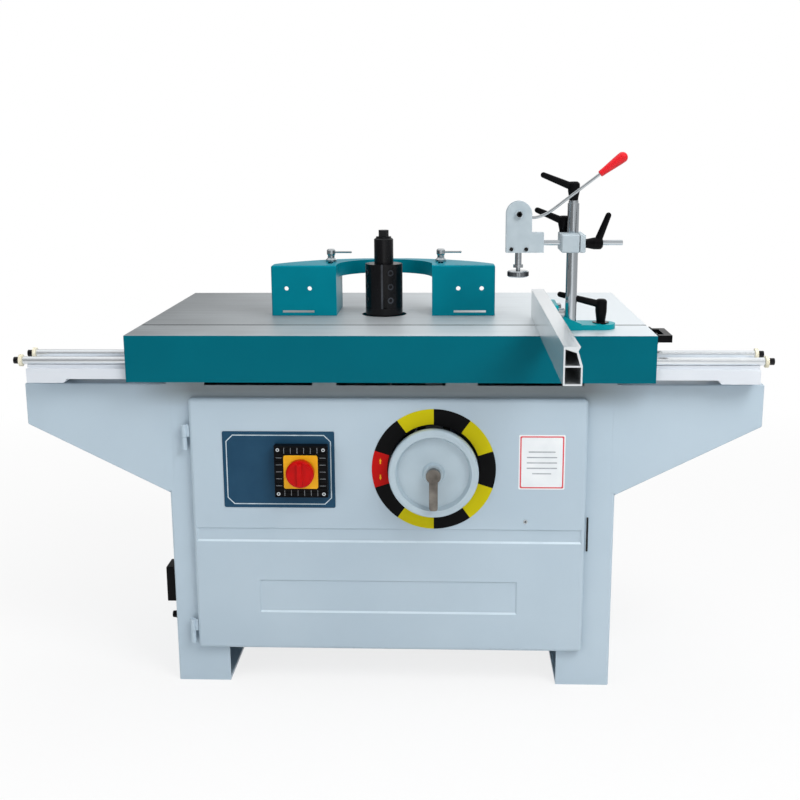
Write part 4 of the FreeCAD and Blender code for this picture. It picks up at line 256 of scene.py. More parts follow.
# How a pattern is stretched: drawn out along a line, or in rings round one
evenly, alongX, alongY, roundZ = (1, 1, 1), (2, 120, 120), (120, 2, 120), (6, 6, 160)
looks = {
    "cabinetPaint": {"dark": (176, 194, 207), "light": (185, 202, 214), "patch": 2.5, "grain": 420,
                     "height": 0.05, "roughness": (0.30, 0.42), "coat": 0.15, "specular": 0.3,
                     # painted shade: darker from 0.69 m up to 0.73 m, within 0.46 m of the middle, where the
                     # table's overhang shades the cabinet
                     "dust": {"outer": 0.60, "inner": 0.46, "low": 0.690, "high": 0.730,
                              "tone": (138, 147, 151)}},
    "doorPaint": {"dark": (174, 192, 205), "light": (182, 199, 211), "patch": 3.0, "grain": 420,
                  "height": 0.05, "roughness": (0.26, 0.36), "coat": 0.2, "specular": 0.3},
    # painted highlight: lighter paint for the door shoulders' upward-facing lower slopes
    "rubbedPaint": {"dark": (200, 217, 228), "light": (212, 227, 237), "patch": 8, "grain": 420,
                    "height": 0.05, "roughness": (0.22, 0.32), "coat": 0.3},
    "tealCasting": {"dark": (0, 119, 137), "light": (1, 128, 146), "patch": 9, "grain": 260, "height": 0.10,
                    "roughness": (0.26, 0.38), "specular": 0.06},
    # painted light: the guard's teal made lighter for the mitre bracket, whose top faces catch more light
    "tealBright": {"dark": (4, 145, 157), "light": (12, 156, 166), "patch": 9, "grain": 260, "height": 0.10,
                   "roughness": (0.24, 0.36), "specular": 0.08},
    "drawnSteel": {"dark": (222, 227, 231), "light": (236, 240, 243), "patch": 1.5, "grain": 5,
                   "height": 0.001, "roughness": (0.18, 0.26), "metallic": 0.75, "stretch": alongX},
    "satinTube": {"dark": (198, 205, 210), "light": (208, 215, 220), "patch": 6, "grain": 300,
                  "height": 0.002, "roughness": (0.14, 0.19), "metallic": 1.0},
    "turnedSteel": {"dark": (186, 192, 197), "light": (202, 208, 213), "patch": 0.8, "grain": 5,
                    "height": 0.001, "roughness": (0.14, 0.20), "metallic": 1.0, "stretch": roundZ},
    "zincPlate": {"dark": (186, 192, 196), "light": (208, 213, 216), "patch": 40, "grain": 500,
                  "height": 0.02, "roughness": (0.18, 0.34), "metallic": 1.0},
    "blackOxide": {"dark": (5, 5, 8), "light": (13, 13, 16), "patch": 30, "grain": 650, "height": 0.02,
                   "roughness": (0.22, 0.30), "specular": 0.30},
    "blackPlastic": {"dark": (7, 7, 9), "light": (14, 14, 16), "patch": 40, "grain": 900, "height": 0.03,
                     "roughness": (0.28, 0.40), "specular": 0.08},
    "castAluminium": {"dark": (176, 190, 198), "light": (188, 201, 208), "patch": 40, "grain": 620,
                      "height": 0.07, "roughness": (0.40, 0.52), "metallic": 0.2, "specular": 0.3},
    "fenceAluminium": {"dark": (224, 229, 232), "light": (232, 237, 240), "patch": 3, "grain": 8,
                       "height": 0.004, "roughness": (0.20, 0.30), "metallic": 0.75, "stretch": alongY},
    "wheelCasting": {"dark": (172, 190, 201), "light": (184, 201, 211), "patch": 10, "grain": 500,
                     "height": 0.03, "roughness": (0.20, 0.32), "metallic": 0.1, "coat": 0.25},
    "leverSteel": {"dark": (84, 80, 76), "light": (142, 137, 130), "patch": 26, "grain": 120,
                   "height": 0.03, "roughness": (0.24, 0.42), "metallic": 0.9},
    "nylonBuffer": {"dark": (226, 219, 192), "light": (242, 237, 218), "patch": 50, "grain": 700,
                    "height": 0.02, "roughness": (0.36, 0.50)},
    "redKnob": {"dark": (180, 2, 3), "light": (194, 5, 5), "patch": 40, "grain": 800, "height": 0.02,
                "roughness": (0.26, 0.38), "specular": 0.15},
    "cutterSteel": {"dark": (58, 60, 65), "light": (86, 89, 95), "patch": 30, "grain": 500, "height": 0.02,
                    "roughness": (0.24, 0.36), "metallic": 0.8},
    "redGrip": {"dark": (213, 27, 37), "light": (219, 33, 43), "patch": 30, "grain": 500, "height": 0.004,
                "roughness": (0.26, 0.36), "specular": 0.3},
    "yellowPlastic": {"dark": (232, 168, 22), "light": (242, 180, 34), "patch": 40, "grain": 800,
                      "height": 0.02, "roughness": (0.34, 0.46), "specular": 0.2},
    "railPaint": {"dark": (212, 218, 226), "light": (224, 229, 235), "patch": 4, "grain": 380,
                  "height": 0.05, "roughness": (0.34, 0.46), "coat": 0.15},
    "greyIron": {"dark": (92, 95, 98), "light": (126, 129, 132), "patch": 30, "grain": 240, "height": 0.22,
                 "roughness": (0.48, 0.66), "metallic": 0.55},
    "motorPaint": {"dark": (58, 78, 92), "light": (72, 92, 106), "patch": 12, "grain": 300, "height": 0.12,
                   "roughness": (0.36, 0.50), "coat": 0.1},
    "beltRubber": {"dark": (15, 15, 16), "light": (28, 28, 29), "patch": 80, "grain": 700, "height": 0.08,
                   "roughness": (0.60, 0.78)},
    "bearingSteel": {"dark": (176, 181, 186), "light": (204, 208, 212), "patch": 40, "grain": 700,
                     "height": 0.01, "roughness": (0.14, 0.26), "metallic": 1.0},
    "panelBlue": {"dark": (28, 64, 90), "light": (36, 73, 99), "patch": 12, "grain": 900, "height": 0.02,
                  "roughness": (0.34, 0.44), "specular": 0.12},
    "plateWhite": {"dark": (226, 231, 234), "light": (238, 241, 243), "patch": 20, "grain": 800,
                   "height": 0.02, "roughness": (0.36, 0.46)},
    "lineSilver": {"dark": (176, 196, 206), "light": (206, 220, 228), "patch": 60, "grain": 800,
                   "height": 0.02, "roughness": (0.34, 0.44)},
    "borderRed": {"dark": (206, 58, 70), "light": (222, 76, 86), "patch": 60, "grain": 800, "height": 0.02,
                  "roughness": (0.36, 0.46)},
    "printGrey": {"dark": (150, 156, 162), "light": (176, 182, 187), "patch": 60, "grain": 800,
                  "height": 0.02, "roughness": (0.40, 0.50)},
}
finishes = {name: grainedFinish(name, look) for name, look in looks.items()}

# ironDark to ironLight are the ends of a painted reflection across the planed tops; slideLift adds more of it on
# the sliding table
tableLook = {"top": 0.8693, "seamHalf": 0.0042, "ironDark": (128, 132, 135), "ironLight": (224, 231, 235),
             "slideLift": (222, 230, 235), "slideShare": 0.4, "seamDark": (38, 40, 43),
             "tealDark": (0, 92, 108), "tealLight": (0, 102, 118), "streak": 1.4, "cutter": 5.5, "stain": 7,
             "peel": 260, "detail": 6.0, "reflectionAndStreakEnds": (-0.37, 0.85), "streakShare": 0.5, "stainShare": 0.3,
             "ironRoughness": (0.34, 0.50), "tealRoughness": (0.28, 0.40), "seamRoughness": 0.3,
             "metallic": 0.6, "specular": 0.06, "cutterShare": 0.12, "height": 0.10}


# Cast sides in teal enamel, tops planed to bare iron with a painted reflection that runs from dark at the left to
# light at the right, dark along the seam between them
def tableFinish(name, look):
    finish = Finish(name)
    across, along, up = finish.axes()
    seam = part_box("main_table")[0].y
    iron = up > look["top"]
    fromSeam = along.math("ABSOLUTE", along - seam)
    streak = finish.noise(look["streak"], alongX, look["detail"])
    cutter = finish.noise(look["cutter"], alongX)
    stain = finish.noise(look["stain"], evenly, look["detail"])
    peel = finish.noise(look["peel"])
    teal = finish.blend(stain, look["tealDark"], look["tealLight"])
    # painted reflection: the planed tops lighten from left to right, broken by planing streaks and stains
    uneven = across + look["streakShare"] * streak + look["stainShare"] * stain
    reflectionAndStreaks = finish.ramp(uneven, *look["reflectionAndStreakEnds"])
    planed = finish.blend(reflectionAndStreaks, look["ironDark"], look["ironLight"])
    # more of the same painted reflection on the sliding table, towards its right
    planed = finish.blend(look["slideShare"] * reflectionAndStreaks * (along < seam), planed, look["slideLift"])
    shut = (fromSeam < look["seamHalf"]) * (up > look["top"] - look["seamHalf"])
    ironRough, tealRough = (between(look[key], stain) for key in ("ironRoughness", "tealRoughness"))
    roughness = iron * ironRough + (1 - iron) * tealRough
    relief = iron * look["cutterShare"] * cutter + (1 - iron) * peel
    return finish.surface({
        "Base Color": finish.blend(shut, finish.blend(iron, teal, planed), look["seamDark"]),
        "Roughness": roughness + look["seamRoughness"] * shut,
        "Metallic": look["metallic"] * iron * (1 - shut),
        "Specular IOR Level": look["specular"],
        "Normal": finish.bump(relief, look["height"])})


finishes["tableIron"] = tableFinish("tableIron", tableLook)

hazardLook = {"centre": (0.102, 0.548), "segments": 10, "redSegment": 7, "innerEdge": 0.1085,
              "black": (8, 8, 10), "yellow": (204, 192, 14), "red": (188, 20, 18), "rubbed": (120, 120, 116),
              "rubbedShare": 0.02, "patch": 24, "detail": 6.0, "grain": 500, "height": 0.02,
              "roughness": (0.34, 0.50), "specular": 0.06}


# Black and yellow segments round the wheel, one of them red
def hazardFinish(name, look):
    finish = Finish(name)
    across, _, up = finish.axes()
    across = across - look["centre"][0]
    up = up - look["centre"][1]
    turn = across.math("ARCTAN2", across, up)  # clockwise from the top
    turn = turn + (turn < 0) * math.tau
    segment = turn.math("FLOOR", turn * (look["segments"] / math.tau))
    odd = segment.math("MODULO", segment, 2)
    red = segment.math("COMPARE", segment, look["redSegment"], 0.5)
    onRing = across.math("SQRT", across * across + up * up) > look["innerEdge"]
    patch = finish.noise(look["patch"], evenly, look["detail"])
    tone = finish.blend(odd * onRing, look["black"], look["yellow"])
    tone = finish.blend(red * onRing, tone, look["red"])
    return finish.surface({
        "Base Color": finish.blend(look["rubbedShare"] * patch, tone, look["rubbed"]),
        "Roughness": between(look["roughness"], patch),
        "Specular IOR Level": look["specular"],
        "Normal": finish.bump(finish.noise(look["grain"]), look["height"])})


finishes["hazardStripes"] = hazardFinish("hazardStripes", hazardLook)
print("finishes made:", len(finishes))


def carry(piece, body, slot, *replaced):
    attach(piece, body)
    if replaced:
        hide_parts(*replaced)


def jointAt(name):
    return Vector(next(joint["pos_m"] for joint in frame["joints"] if joint["name"] == name))


# Millimetres between doubles, in nodes and in turned pieces, and degrees between faces in one plane
mending = {"merge": 0.02, "seam": 0.01, "flat": 0.3}


def camel(node):
    first, *rest = node.split("_")
    return first + "".join(word.capitalize() for word in rest)


# A node's own shape with its doubles merged, so that its round faces shade evenly
def copyOfNode(node):
    source = nodes[node].data
    mesh = bpy.data.meshes.new(camel(node))
    faces = [face.vertices[:] for face in source.polygons]
    mesh.from_pydata([vertex.co for vertex in source.vertices], [], faces)
    form = bmesh.new()
    form.from_mesh(mesh)
    bmesh.ops.remove_doubles(form, verts=form.verts, dist=mending["merge"] * millimetre)
    flat = math.radians(mending["flat"])
    bmesh.ops.dissolve_limit(form, angle_limit=flat, verts=form.verts, edges=form.edges)
    form.to_mesh(mesh)
    form.free()
    return addPiece(camel(node), mesh)


# Finish of each node, and the width in millimetres of the bevel on its edges
dress = {
    "cabinet_shell": ("cabinetPaint", 0), "left_wing": ("cabinetPaint", 0),
    "right_wing": ("cabinetPaint", 0), "rear_panel": ("cabinetPaint", 0.5), "main_table": ("tableIron", 0),
    "sliding_table": ("tableIron", 0), "table_ring": ("tableIron", 0.6), "table_pads": ("greyIron", 1),
    "rail_beam": ("railPaint", 0), "guide_rods": ("drawnSteel", 0.8), "rod_bumpers": ("nylonBuffer", 1.2),
    "rod_bolts": ("blackOxide", 0.8), "cabinet_hinges": ("cabinetPaint", 0.5),
    "door_hinges": ("cabinetPaint", 0.5), "door_panel": ("doorPaint", 0.8), "wheel_hanger": ("greyIron", 1),
    "lift_frame": ("greyIron", 0), "lift_columns": ("drawnSteel", 0.8), "lift_carriage": ("greyIron", 0),
    "spindle_quill": ("turnedSteel", 0.8), "spindle_bearings": ("bearingSteel", 0.6),
    "motor_body": ("motorPaint", 0), "drive_belt": ("beltRubber", 0), "spindle_pulley": ("greyIron", 0),
    "motor_pulley": ("greyIron", 0), "wheel_shaft": ("turnedSteel", 0), "lead_screw": ("turnedSteel", 0),
    "handwheel": ("wheelCasting", 0), "hazard_ring": ("hazardStripes", 0),
    "switch_base": ("blackPlastic", 0.5), "switch_bezel": ("yellowPlastic", 0.8),
    "spindle_shaft": ("blackOxide", 0.8), "cutter_block": ("blackOxide", 0),
    "cutter_knives": ("cutterSteel", 0), "spindle_collar": ("blackOxide", 0),
    "spindle_bolt": ("blackOxide", 0.6), "spindle_guard": ("tealCasting", 1),
    "guard_clamp_left": ("zincPlate", 0), "guard_clamp_right": ("zincPlate", 0),
    "mitre_bracket": ("tealBright", 0.8), "cross_fence": ("fenceAluminium", 0.3),
    "fence_bolts": ("zincPlate", 0), "slide_bearings": ("greyIron", 0), "push_handle": ("blackPlastic", 0),
    "clamp_post": ("satinTube", 0.6), "cross_block": ("castAluminium", 1), "clamp_arm": ("satinTube", 0.8),
    "clamp_head": ("castAluminium", 1), "cam_lever": ("turnedSteel", 0), "cam_grip": ("redGrip", 0),
    "plunger": ("turnedSteel", 0), "power_inlet": ("blackPlastic", 1), "lock_lever": ("leverSteel", 0.8),
    "switch_knob": ("redKnob", 0.8), "panel_screws": ("zincPlate", 0.5), "base_lever": ("blackPlastic", 0),
    "post_lever": ("blackPlastic", 0), "side_lever": ("blackPlastic", 0), "rear_lever": ("blackPlastic", 0),
}


edgeBevel = {"segments": 2, "angle": 32}


def bevelled(piece, width):  # width in millimetres
    bevel = piece.modifiers.new("edges", "BEVEL")
    bevel.width = width * millimetre
    bevel.segments = edgeBevel["segments"]
    bevel.limit_method = "ANGLE"
    bevel.angle_limit = math.radians(edgeBevel["angle"])
    bevel.harden_normals = True
    return piece


remade = set()  # nodes whose piece has a function of its own


def dressNodes():  # called last, when remade is full
    for node, (finish, width) in dress.items():
        nodes[node].material_slots[0].material = finishes[finish]
        if node in remade:
            continue
        piece = copyOfNode(node)
        smooth(piece.data)
        piece.data.materials.append(finishes[finish])
        if width:
            bevelled(piece, width)
        carry(piece, bodyOf[node], slotOf[node], node)
    print("nodes dressed:", len(dress) - len(remade))


def bridge(form, first, second):  # faces from one closed loop of points to another
    for index in range(len(first)):
        after = (index + 1) % len(first)
        form.faces.new((first[index], first[after], second[after], second[index]))


# A flat shape in the door's plane, from outlines of (across, up) points, raised towards the front
def platePiece(name, outer, back, thick, finish, inner=None):
    form = bmesh.new()

    def ring(points, depth):
        return [form.verts.new((across, depth, up)) for across, up in points]

    rims = [(ring(points, back - thick), ring(points, back)) for points in (outer, inner) if points]
    for ahead, behind in rims:
        bridge(form, ahead, behind)
    for side in (0, 1):  # front, then back
        if inner:
            bridge(form, rims[0][side], rims[1][side])
        else:
            form.faces.new(rims[0][side])
    bmesh.ops.recalc_face_normals(form, faces=form.faces)
    return formed(name, form, finish)


def rectangle(left, right, low, high):
    return [(left, low), (right, low), (right, high), (left, high)]


def cornered(left, right, low, high, cut, steps=1):  # steps 1 cuts the corners off, more rounds them
    centres = rectangle(left + cut, right - cut, low + cut, high - cut)
    points = []
    for quarter, (across, up) in enumerate(centres[2:] + centres[:2]):  # from the upper right
        for step in range(steps + 1):
            turn = math.radians(90 * (quarter + step / steps))
            points.append((across + cut * math.cos(turn), up + cut * math.sin(turn)))
    return points


def edgesOf(size, inset=0):
    return (size["left"] + inset, size["right"] - inset, size["low"] + inset, size["high"] - inset)


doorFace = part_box("door_panel")[0].y
controlPlate = {"left": -0.392, "right": -0.129, "low": 0.453, "high": 0.638, "thick": 0.0014,
                "corner": 0.004, "steps": 6, "bevel": 0.4, "lineIn": 0.008, "lineWide": 0.0022,
                "lineThick": 0.0002, "lineCut": 0.016, "innerCut": 0.01468}


def makeControlPlate(size):
    outline = cornered(*edgesOf(size), size["corner"], size["steps"])
    plate = platePiece("controlPlate", outline, doorFace, size["thick"], "panelBlue")
    carry(bevelled(plate, size["bevel"]), "door", "black_plastic")
    outer = cornered(*edgesOf(size, size["lineIn"]), size["lineCut"])
    inner = cornered(*edgesOf(size, size["lineIn"] + size["lineWide"]), size["innerCut"])
    face = doorFace - size["thick"]
    line = platePiece("controlPlateLine", outer, face, size["lineThick"], "lineSilver", inner)
    carry(line, "door", "bright_steel")


labelPlate = {"left": 0.299, "right": 0.406, "low": 0.501, "high": 0.632, "thick": 0.0008,
              "corner": 0.003, "steps": 5, "border": 0.003, "print": 0.0002, "barTop": 0.590,
              "barPitch": 0.013, "barHigh": 0.0028, "barCorner": 0.0008, "barSteps": 3,
              "bars": (0.062, 0.070, 0.070, 0.070, 0.044)}


def makeLabelPlate(size):
    def outline(inset):
        return cornered(*edgesOf(size, inset), size["corner"], size["steps"])

    plate = platePiece("labelPlate", outline(0), doorFace, size["thick"], "plateWhite")
    carry(plate, "door", "nylon")
    face = doorFace - size["thick"]
    by = size["border"]
    border = platePiece("labelBorder", outline(by), face, size["print"], "borderRed", outline(2 * by))
    carry(border, "door", "red_plastic")
    middle = (size["left"] + size["right"]) / 2
    for index, long in enumerate(size["bars"]):
        low = size["barTop"] - index * size["barPitch"]
        edges = (middle - long / 2, middle + long / 2, low, low + size["barHigh"])
        bar = cornered(*edges, size["barCorner"], size["barSteps"])
        carry(platePiece(f"labelBar{index}", bar, face, size["print"], "printGrey"), "door", "bright_steel")


# Small yellow arrows on the ring's red segment, one for each way of turning
arrowMarks = {"radius": 0.126, "turns": (-81, -99), "long": 0.013, "wide": 0.006, "thick": 0.0003}


def makeArrowMarks(size):
    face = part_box("hazard_ring")[0].y
    half, quarter, tip = size["wide"] / 2, size["wide"] / 4, size["long"] / 2
    shape = [(-quarter, -tip), (quarter, -tip), (quarter, 0), (half, 0), (0, tip), (-half, 0), (-quarter, 0)]
    for index, degrees in enumerate(size["turns"]):
        turn = math.radians(degrees)
        across = hazardLook["centre"][0] + size["radius"] * math.sin(turn)
        up = hazardLook["centre"][1] + size["radius"] * math.cos(turn)
        lift = 1 if index == 0 else -1
        points = [(across + x, up + lift * y) for x, y in shape]
        mark = platePiece(f"arrowMark{index}", points, face, size["thick"], "yellowPlastic")
        carry(mark, "door", "yellow_plastic")


makeControlPlate(controlPlate)
makeLabelPlate(labelPlate)
makeArrowMarks(arrowMarks)
print("door plates made")

headSides = 18


# Socket screws: a round head whose top is set in, then sunk
def screwTree():
    tree = Growth("socketScrews", ("head", "height", "socket", "depth"))
    radius, height, socket, depth = (tree.given.out(size) for size in tree.sizes)
    head = tree.node("GeometryNodeMeshCylinder", {}, {
        "Vertices": headSides, "Radius": radius, "Depth": height}, "Mesh")
    rim = tree.node("GeometryNodeExtrudeMesh", {"mode": "FACES"}, {
        "Mesh": head, "Selection": head.out("Top"), "Offset Scale": 0.0, "Individual": False})
    inset = tree.node("GeometryNodeScaleElements", {}, {
        "Geometry": rim, "Selection": rim.out("Top"), "Scale": socket.math("DIVIDE", socket, radius)})
    sunk = tree.node("GeometryNodeExtrudeMesh", {"mode": "FACES"}, {
        "Mesh": inset, "Selection": rim.out("Top"), "Offset Scale": 0 - depth, "Individual": False})
    tree.settle(sunk)
    return tree


screws = screwTree()
frontwards = (math.radians(90), 0, 0)


def screwSet(name, places, size, finish, body, slot):
    piece = screws.grow(name, places, size, finish)
    smooth(piece.data)
    carry(piece, body, slot)


switchScrews = {"inset": 0.009, "head": 0.0042, "height": 0.004, "socket": 0.0020, "depth": 0.002}


def makeSwitchScrews(size):
    low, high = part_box("switch_base")
    by = size["inset"]
    corners = [(across, up) for across in (low.x + by, high.x - by) for up in (low.z + by, high.z - by)]
    places = [((across, low.y, up), frontwards) for across, up in corners]
    screwSet("switchScrews", places, size, "zincPlate", "door", "bright_steel")


doorScrew = {"across": 0.317, "up": 0.422, "head": 0.005, "height": 0.003, "socket": 0.0025, "depth": 0.0015}


def makeDoorScrew(size):
    place = (size["across"], doorFace, size["up"])
    screwSet("doorScrew", [(place, frontwards)], size, "zincPlate", "door", "bright_steel")


gibScrews = {"knives": 4, "rows": 3, "pitch": 0.034, "turn": 24, "sunk": 0.001, "head": 0.0078,
             "height": 0.004, "socket": 0.0044, "depth": 0.003}


# Rows of screws in the cutter block, one row beside each knife
def makeGibScrews(size):
    low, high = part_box("cutter_block")
    centre = (low + high) / 2
    reach = (high.x - low.x) / 2 - size["sunk"]
    places = []
    for knife in range(size["knives"]):
        turn = math.radians(size["turn"] + 360 * knife / size["knives"])
        for row in range(size["rows"]):
            up = centre.z + (row - (size["rows"] - 1) / 2) * size["pitch"]
            place = (centre.x + reach * math.sin(turn), centre.y - reach * math.cos(turn), up)
            places.append((place, (*frontwards[:2], turn)))
    screwSet("gibScrews", places, size, "cutterSteel", "spindle", "black_steel")


headScrews = {"low": 0.008, "inset": 0.012, "sunk": 0.004, "head": 0.0044, "height": 0.003, "socket": 0.0022,
              "depth": 0.002}


# Two screws low in the clamp's head, one each side of the plunger
def makeHeadScrews(size):
    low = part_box("clamp_head")[0]
    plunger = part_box("plunger")
    middle = (plunger[0].x + plunger[1].x) / 2
    half = middle - low.x - size["inset"]
    face, up = low.y + size["sunk"], low.z + size["low"]
    places = [((middle + side * half, face, up), frontwards) for side in (-1, 1)]
    screwSet("headScrews", places, size, "blackOxide", "clamp_arm", "black_steel")


makeSwitchScrews(switchScrews)
makeDoorScrew(doorScrew)
makeGibScrews(gibScrews)
makeHeadScrews(headScrews)
print("screws set")


# A profile of (radius, height) points turned about a line through a place
def turnedPiece(name, profile, place, axis, finish, count=40):
    form = bmesh.new()
    points = [form.verts.new((radius, 0, height)) for radius, height in profile]
    edges = [form.edges.new(pair) for pair in zip(points, points[1:])]
    bmesh.ops.spin(form, geom=points + edges, axis=(0, 0, 1), cent=(0, 0, 0), steps=count, angle=math.tau,
                   use_merge=True, use_duplicate=False)
    bmesh.ops.remove_doubles(form, verts=form.verts, dist=mending["seam"] * millimetre)
    bmesh.ops.recalc_face_normals(form, faces=form.faces)
    turn = Vector(axis).to_track_quat("Z", "Y").to_matrix().to_4x4()
    bmesh.ops.transform(form, matrix=Matrix.Translation(place) @ turn, verts=form.verts)
    return formed(name, form, finish)


mouldedLevers = {"nodes": ("post_lever", "rear_lever", "side_lever", "base_lever"), "voxel": 0.9,
                 "swell": 1.3, "soften": 9, "softenShare": 0.5, "sharp": 60}


# Clamp levers, moulded in one with soft blends from hub to arm
def makeMouldedLevers(size):
    for node in size["nodes"]:
        piece = copyOfNode(node)
        remesh = piece.modifiers.new("blend", "REMESH")
        remesh.mode = "VOXEL"
        remesh.voxel_size = size["voxel"] * millimetre
        swell = piece.modifiers.new("swell", "DISPLACE")
        swell.mid_level = 0
        swell.strength = size["swell"] * millimetre
        soften = piece.modifiers.new("soften", "SMOOTH")
        soften.factor = size["softenShare"]
        soften.iterations = size["soften"]
        mesh = settled(piece)
        smooth(mesh, size["sharp"])
        mesh.materials.append(finishes["blackPlastic"])
        carry(piece, bodyOf[node], slotOf[node], node)
        remade.add(node)


wheelRim = {"outer": 0.1042, "wide": 0.015, "back": 0.0015, "front": 0.0003, "corner": 0.0055, "steps": 5,
            "sides": 96}


# The handwheel's smooth round rim, over its grips
def makeWheelRim(size):
    low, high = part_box("handwheel")
    middle = (low + high) / 2
    deep = high.y - low.y - size["back"] + size["front"]
    inner = size["outer"] - size["wide"]
    profile = cornered(inner, size["outer"], 0, deep, size["corner"], size["steps"])
    place = (middle.x, high.y - size["back"], middle.z)
    rim = turnedPiece("wheelRim", profile + profile[:1], place, (0, -1, 0), "wheelCasting", size["sides"])
    carry(rim, "handwheel", slotOf["handwheel"])


camHandle = {"neckReach": 0.052, "neckDrop": 0.008, "lean": 53, "radius": 0.0034, "rings": 5,
             "steps": 10, "neck": (0.014, 0.030, 0.040), "rod": (0.014, 0.050, 0.176),
             "discRadius": 0.016, "discThick": 0.0116, "discEdge": 0.001, "throw": 0.008, "throwTurn": 30,
             "bore": 0.0053, "gripStart": 0.156, "gripLong": 0.072, "gripThin": 0.0072, "gripThick": 0.012,
             "gripEdge": 0.0015, "gripSwell": (0.0006, 0.0008), "gripEnds": 0.012, "gripSteps": 10,
             "pinScrew": {"proud": 0.001, "head": 0.0062, "height": 0.004, "socket": 0.0036, "depth": 0.003}}


def camRod(size, pin, elbow, along):  # bent at the elbow, its neck level and its rod leaning
    neck = [pin + Vector((reach, 0, -size["neckDrop"])) for reach in size["neck"]]
    route = neck + [elbow + reach * along for reach in size["rod"]]
    curve = bpy.data.curves.new("camRod", "CURVE")
    curve.dimensions = "3D"
    curve.bevel_depth = size["radius"]
    curve.bevel_resolution = size["rings"]
    curve.use_fill_caps = True
    line = curve.splines.new("NURBS")
    line.points.add(len(route) - 1)
    for point, place in zip(line.points, route):
        point.co = (*place, 1)
    line.order_u = 3
    line.use_endpoint_u = True
    line.resolution_u = size["steps"]
    rod = addPiece("camRod", curve)
    mesh = evaluated(rod)
    bpy.data.objects.remove(rod)
    return mesh


def camDisc(size, pin):  # off centre, so that it pushes the plunger, and bored for the pin
    half, radius, edge, bore = size["discThick"] / 2, size["discRadius"], size["discEdge"], size["bore"]
    throw = math.radians(size["throwTurn"])
    middle = pin + size["throw"] * Vector((math.cos(throw), 0, -math.sin(throw)))
    profile = [(0, -half), (radius - edge, -half), (radius, edge - half), (radius, half - edge),
               (radius - edge, half), (0, half)]
    disc = turnedPiece("camDisc", profile, middle, (0, 1, 0), "zincPlate")
    profile = [(0, -2 * half), (bore, -2 * half), (bore, 2 * half), (0, 2 * half)]
    hole = turnedPiece("camBore", profile, pin, (0, 1, 0), "zincPlate")
    mesh = cutBy(disc, [hole])
    bpy.data.objects.remove(disc)
    return mesh


def camGrip(size, place, along):  # a dipped grip that swells towards a round end
    thin, thick, long, edge = (size[key] for key in ("gripThin", "gripThick", "gripLong", "gripEdge"))
    start, end = size["gripSwell"]
    profile = [(size["radius"], 0), (thin - edge, 0), (thin, edge), (thin + start, size["gripEnds"]),
               (thick - end, long - thick - size["gripEnds"])]
    for step in range(size["gripSteps"]):
        turn = math.radians(90 * step / size["gripSteps"])
        profile.append((thick * math.cos(turn), long - thick + thick * math.sin(turn)))
    return turnedPiece("camGrip", profile + [(0, long)], place, along, "redGrip")


# The cam's handle: a disc between the head's plates, a bent rod and a grip
def makeCamHandle(size):
    pin = jointAt("cam_turn")
    lean = math.radians(size["lean"])
    along = Vector((math.sin(lean), 0, math.cos(lean)))
    elbow = pin + Vector((size["neckReach"], 0, -size["neckDrop"]))
    form = bmesh.new()
    form.from_mesh(camRod(size, pin, elbow, along))
    form.from_mesh(camDisc(size, pin))
    carry(formed("camLever", form, "zincPlate"), "cam", slotOf["cam_lever"], "cam_lever")
    carry(camGrip(size, elbow + size["gripStart"] * along, along), "cam", slotOf["cam_grip"], "cam_grip")
    remade.update(("cam_lever", "cam_grip"))
    screw = size["pinScrew"]
    place = (pin.x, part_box("clamp_head")[0].y - screw["proud"], pin.z)
    screwSet("camPinScrew", [(place, frontwards)], screw, "blackOxide", "clamp_arm", "black_steel")


leverWasher = {"radius": 0.019, "hole": 0.0095, "thick": 0.0024, "edge": 0.0006, "bracketThick": 0.012}


def makeLeverWasher(size):
    lever = jointAt("base_lever_turn")
    place = (lever.x, lever.y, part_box("table_ring")[1].z + size["bracketThick"])
    outer, hole, thick, edge = (size[key] for key in ("radius", "hole", "thick", "edge"))
    profile = [(hole, 0), (outer, 0), (outer, thick - edge), (outer - edge, thick), (hole, thick), (hole, 0)]
    carry(turnedPiece("leverWasher", profile, place, (0, 0, 1), "blackOxide"), "sliding_table", "black_steel")


# Plain bars for knurls, fins and marks, deep along X, wide along Y and high along Z
def barTree():
    tree = Growth("bars", ("deep", "wide", "high"))
    sides = [tree.given.out(size) for size in tree.sizes]
    size = tree.node("ShaderNodeCombineXYZ", {}, dict(zip("XYZ", sides)))
    tree.settle(tree.node("GeometryNodeMeshCube", {}, {"Size": size}, "Mesh"))
    return tree


bars = barTree()


def ringOf(count, centre, radius, up):  # places round an upright line, each turned outwards
    turns = [math.tau * step / count for step in range(count)]
    rim = [(centre.x + radius * math.cos(turn), centre.y + radius * math.sin(turn), up) for turn in turns]
    return [(place, (0, 0, turn)) for place, turn in zip(rim, turns)]


footKnurl = {"count": 44, "wide": 0.0017, "deep": 0.0014, "high": 0.0095, "up": 0.007}


# Straight knurls round the clamp's foot
def makeFootKnurl(size):
    low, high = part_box("plunger")
    places = ringOf(size["count"], (low + high) / 2, (high.x - low.x) / 2, low.z + size["up"])
    carry(bars.grow("footKnurl", places, size, "cutterSteel"), "plunger", slotOf["plunger"])


motorFins = {"count": 28, "wide": 0.003, "deep": 0.012, "high": 0.150, "gap": 0.02, "proud": 0.003,
             "boxFacing": 1.5 * math.pi, "boxHalf": 0.55}


def makeMotorFins(size):
    low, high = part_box("motor_body")
    radius = (high.x - low.x) / 2 - size["deep"] / 2 + size["proud"]
    middle = low.z + size["gap"] + size["high"] / 2
    ring = ringOf(size["count"], jointAt("motor_spin"), radius, middle)
    places = [(place, facing) for place, facing in ring
              if abs(facing[2] - size["boxFacing"]) > size["boxHalf"]]  # the terminal box takes the front
    carry(bars.grow("motorFins", places, size, "motorPaint"), "lift", slotOf["motor_body"])


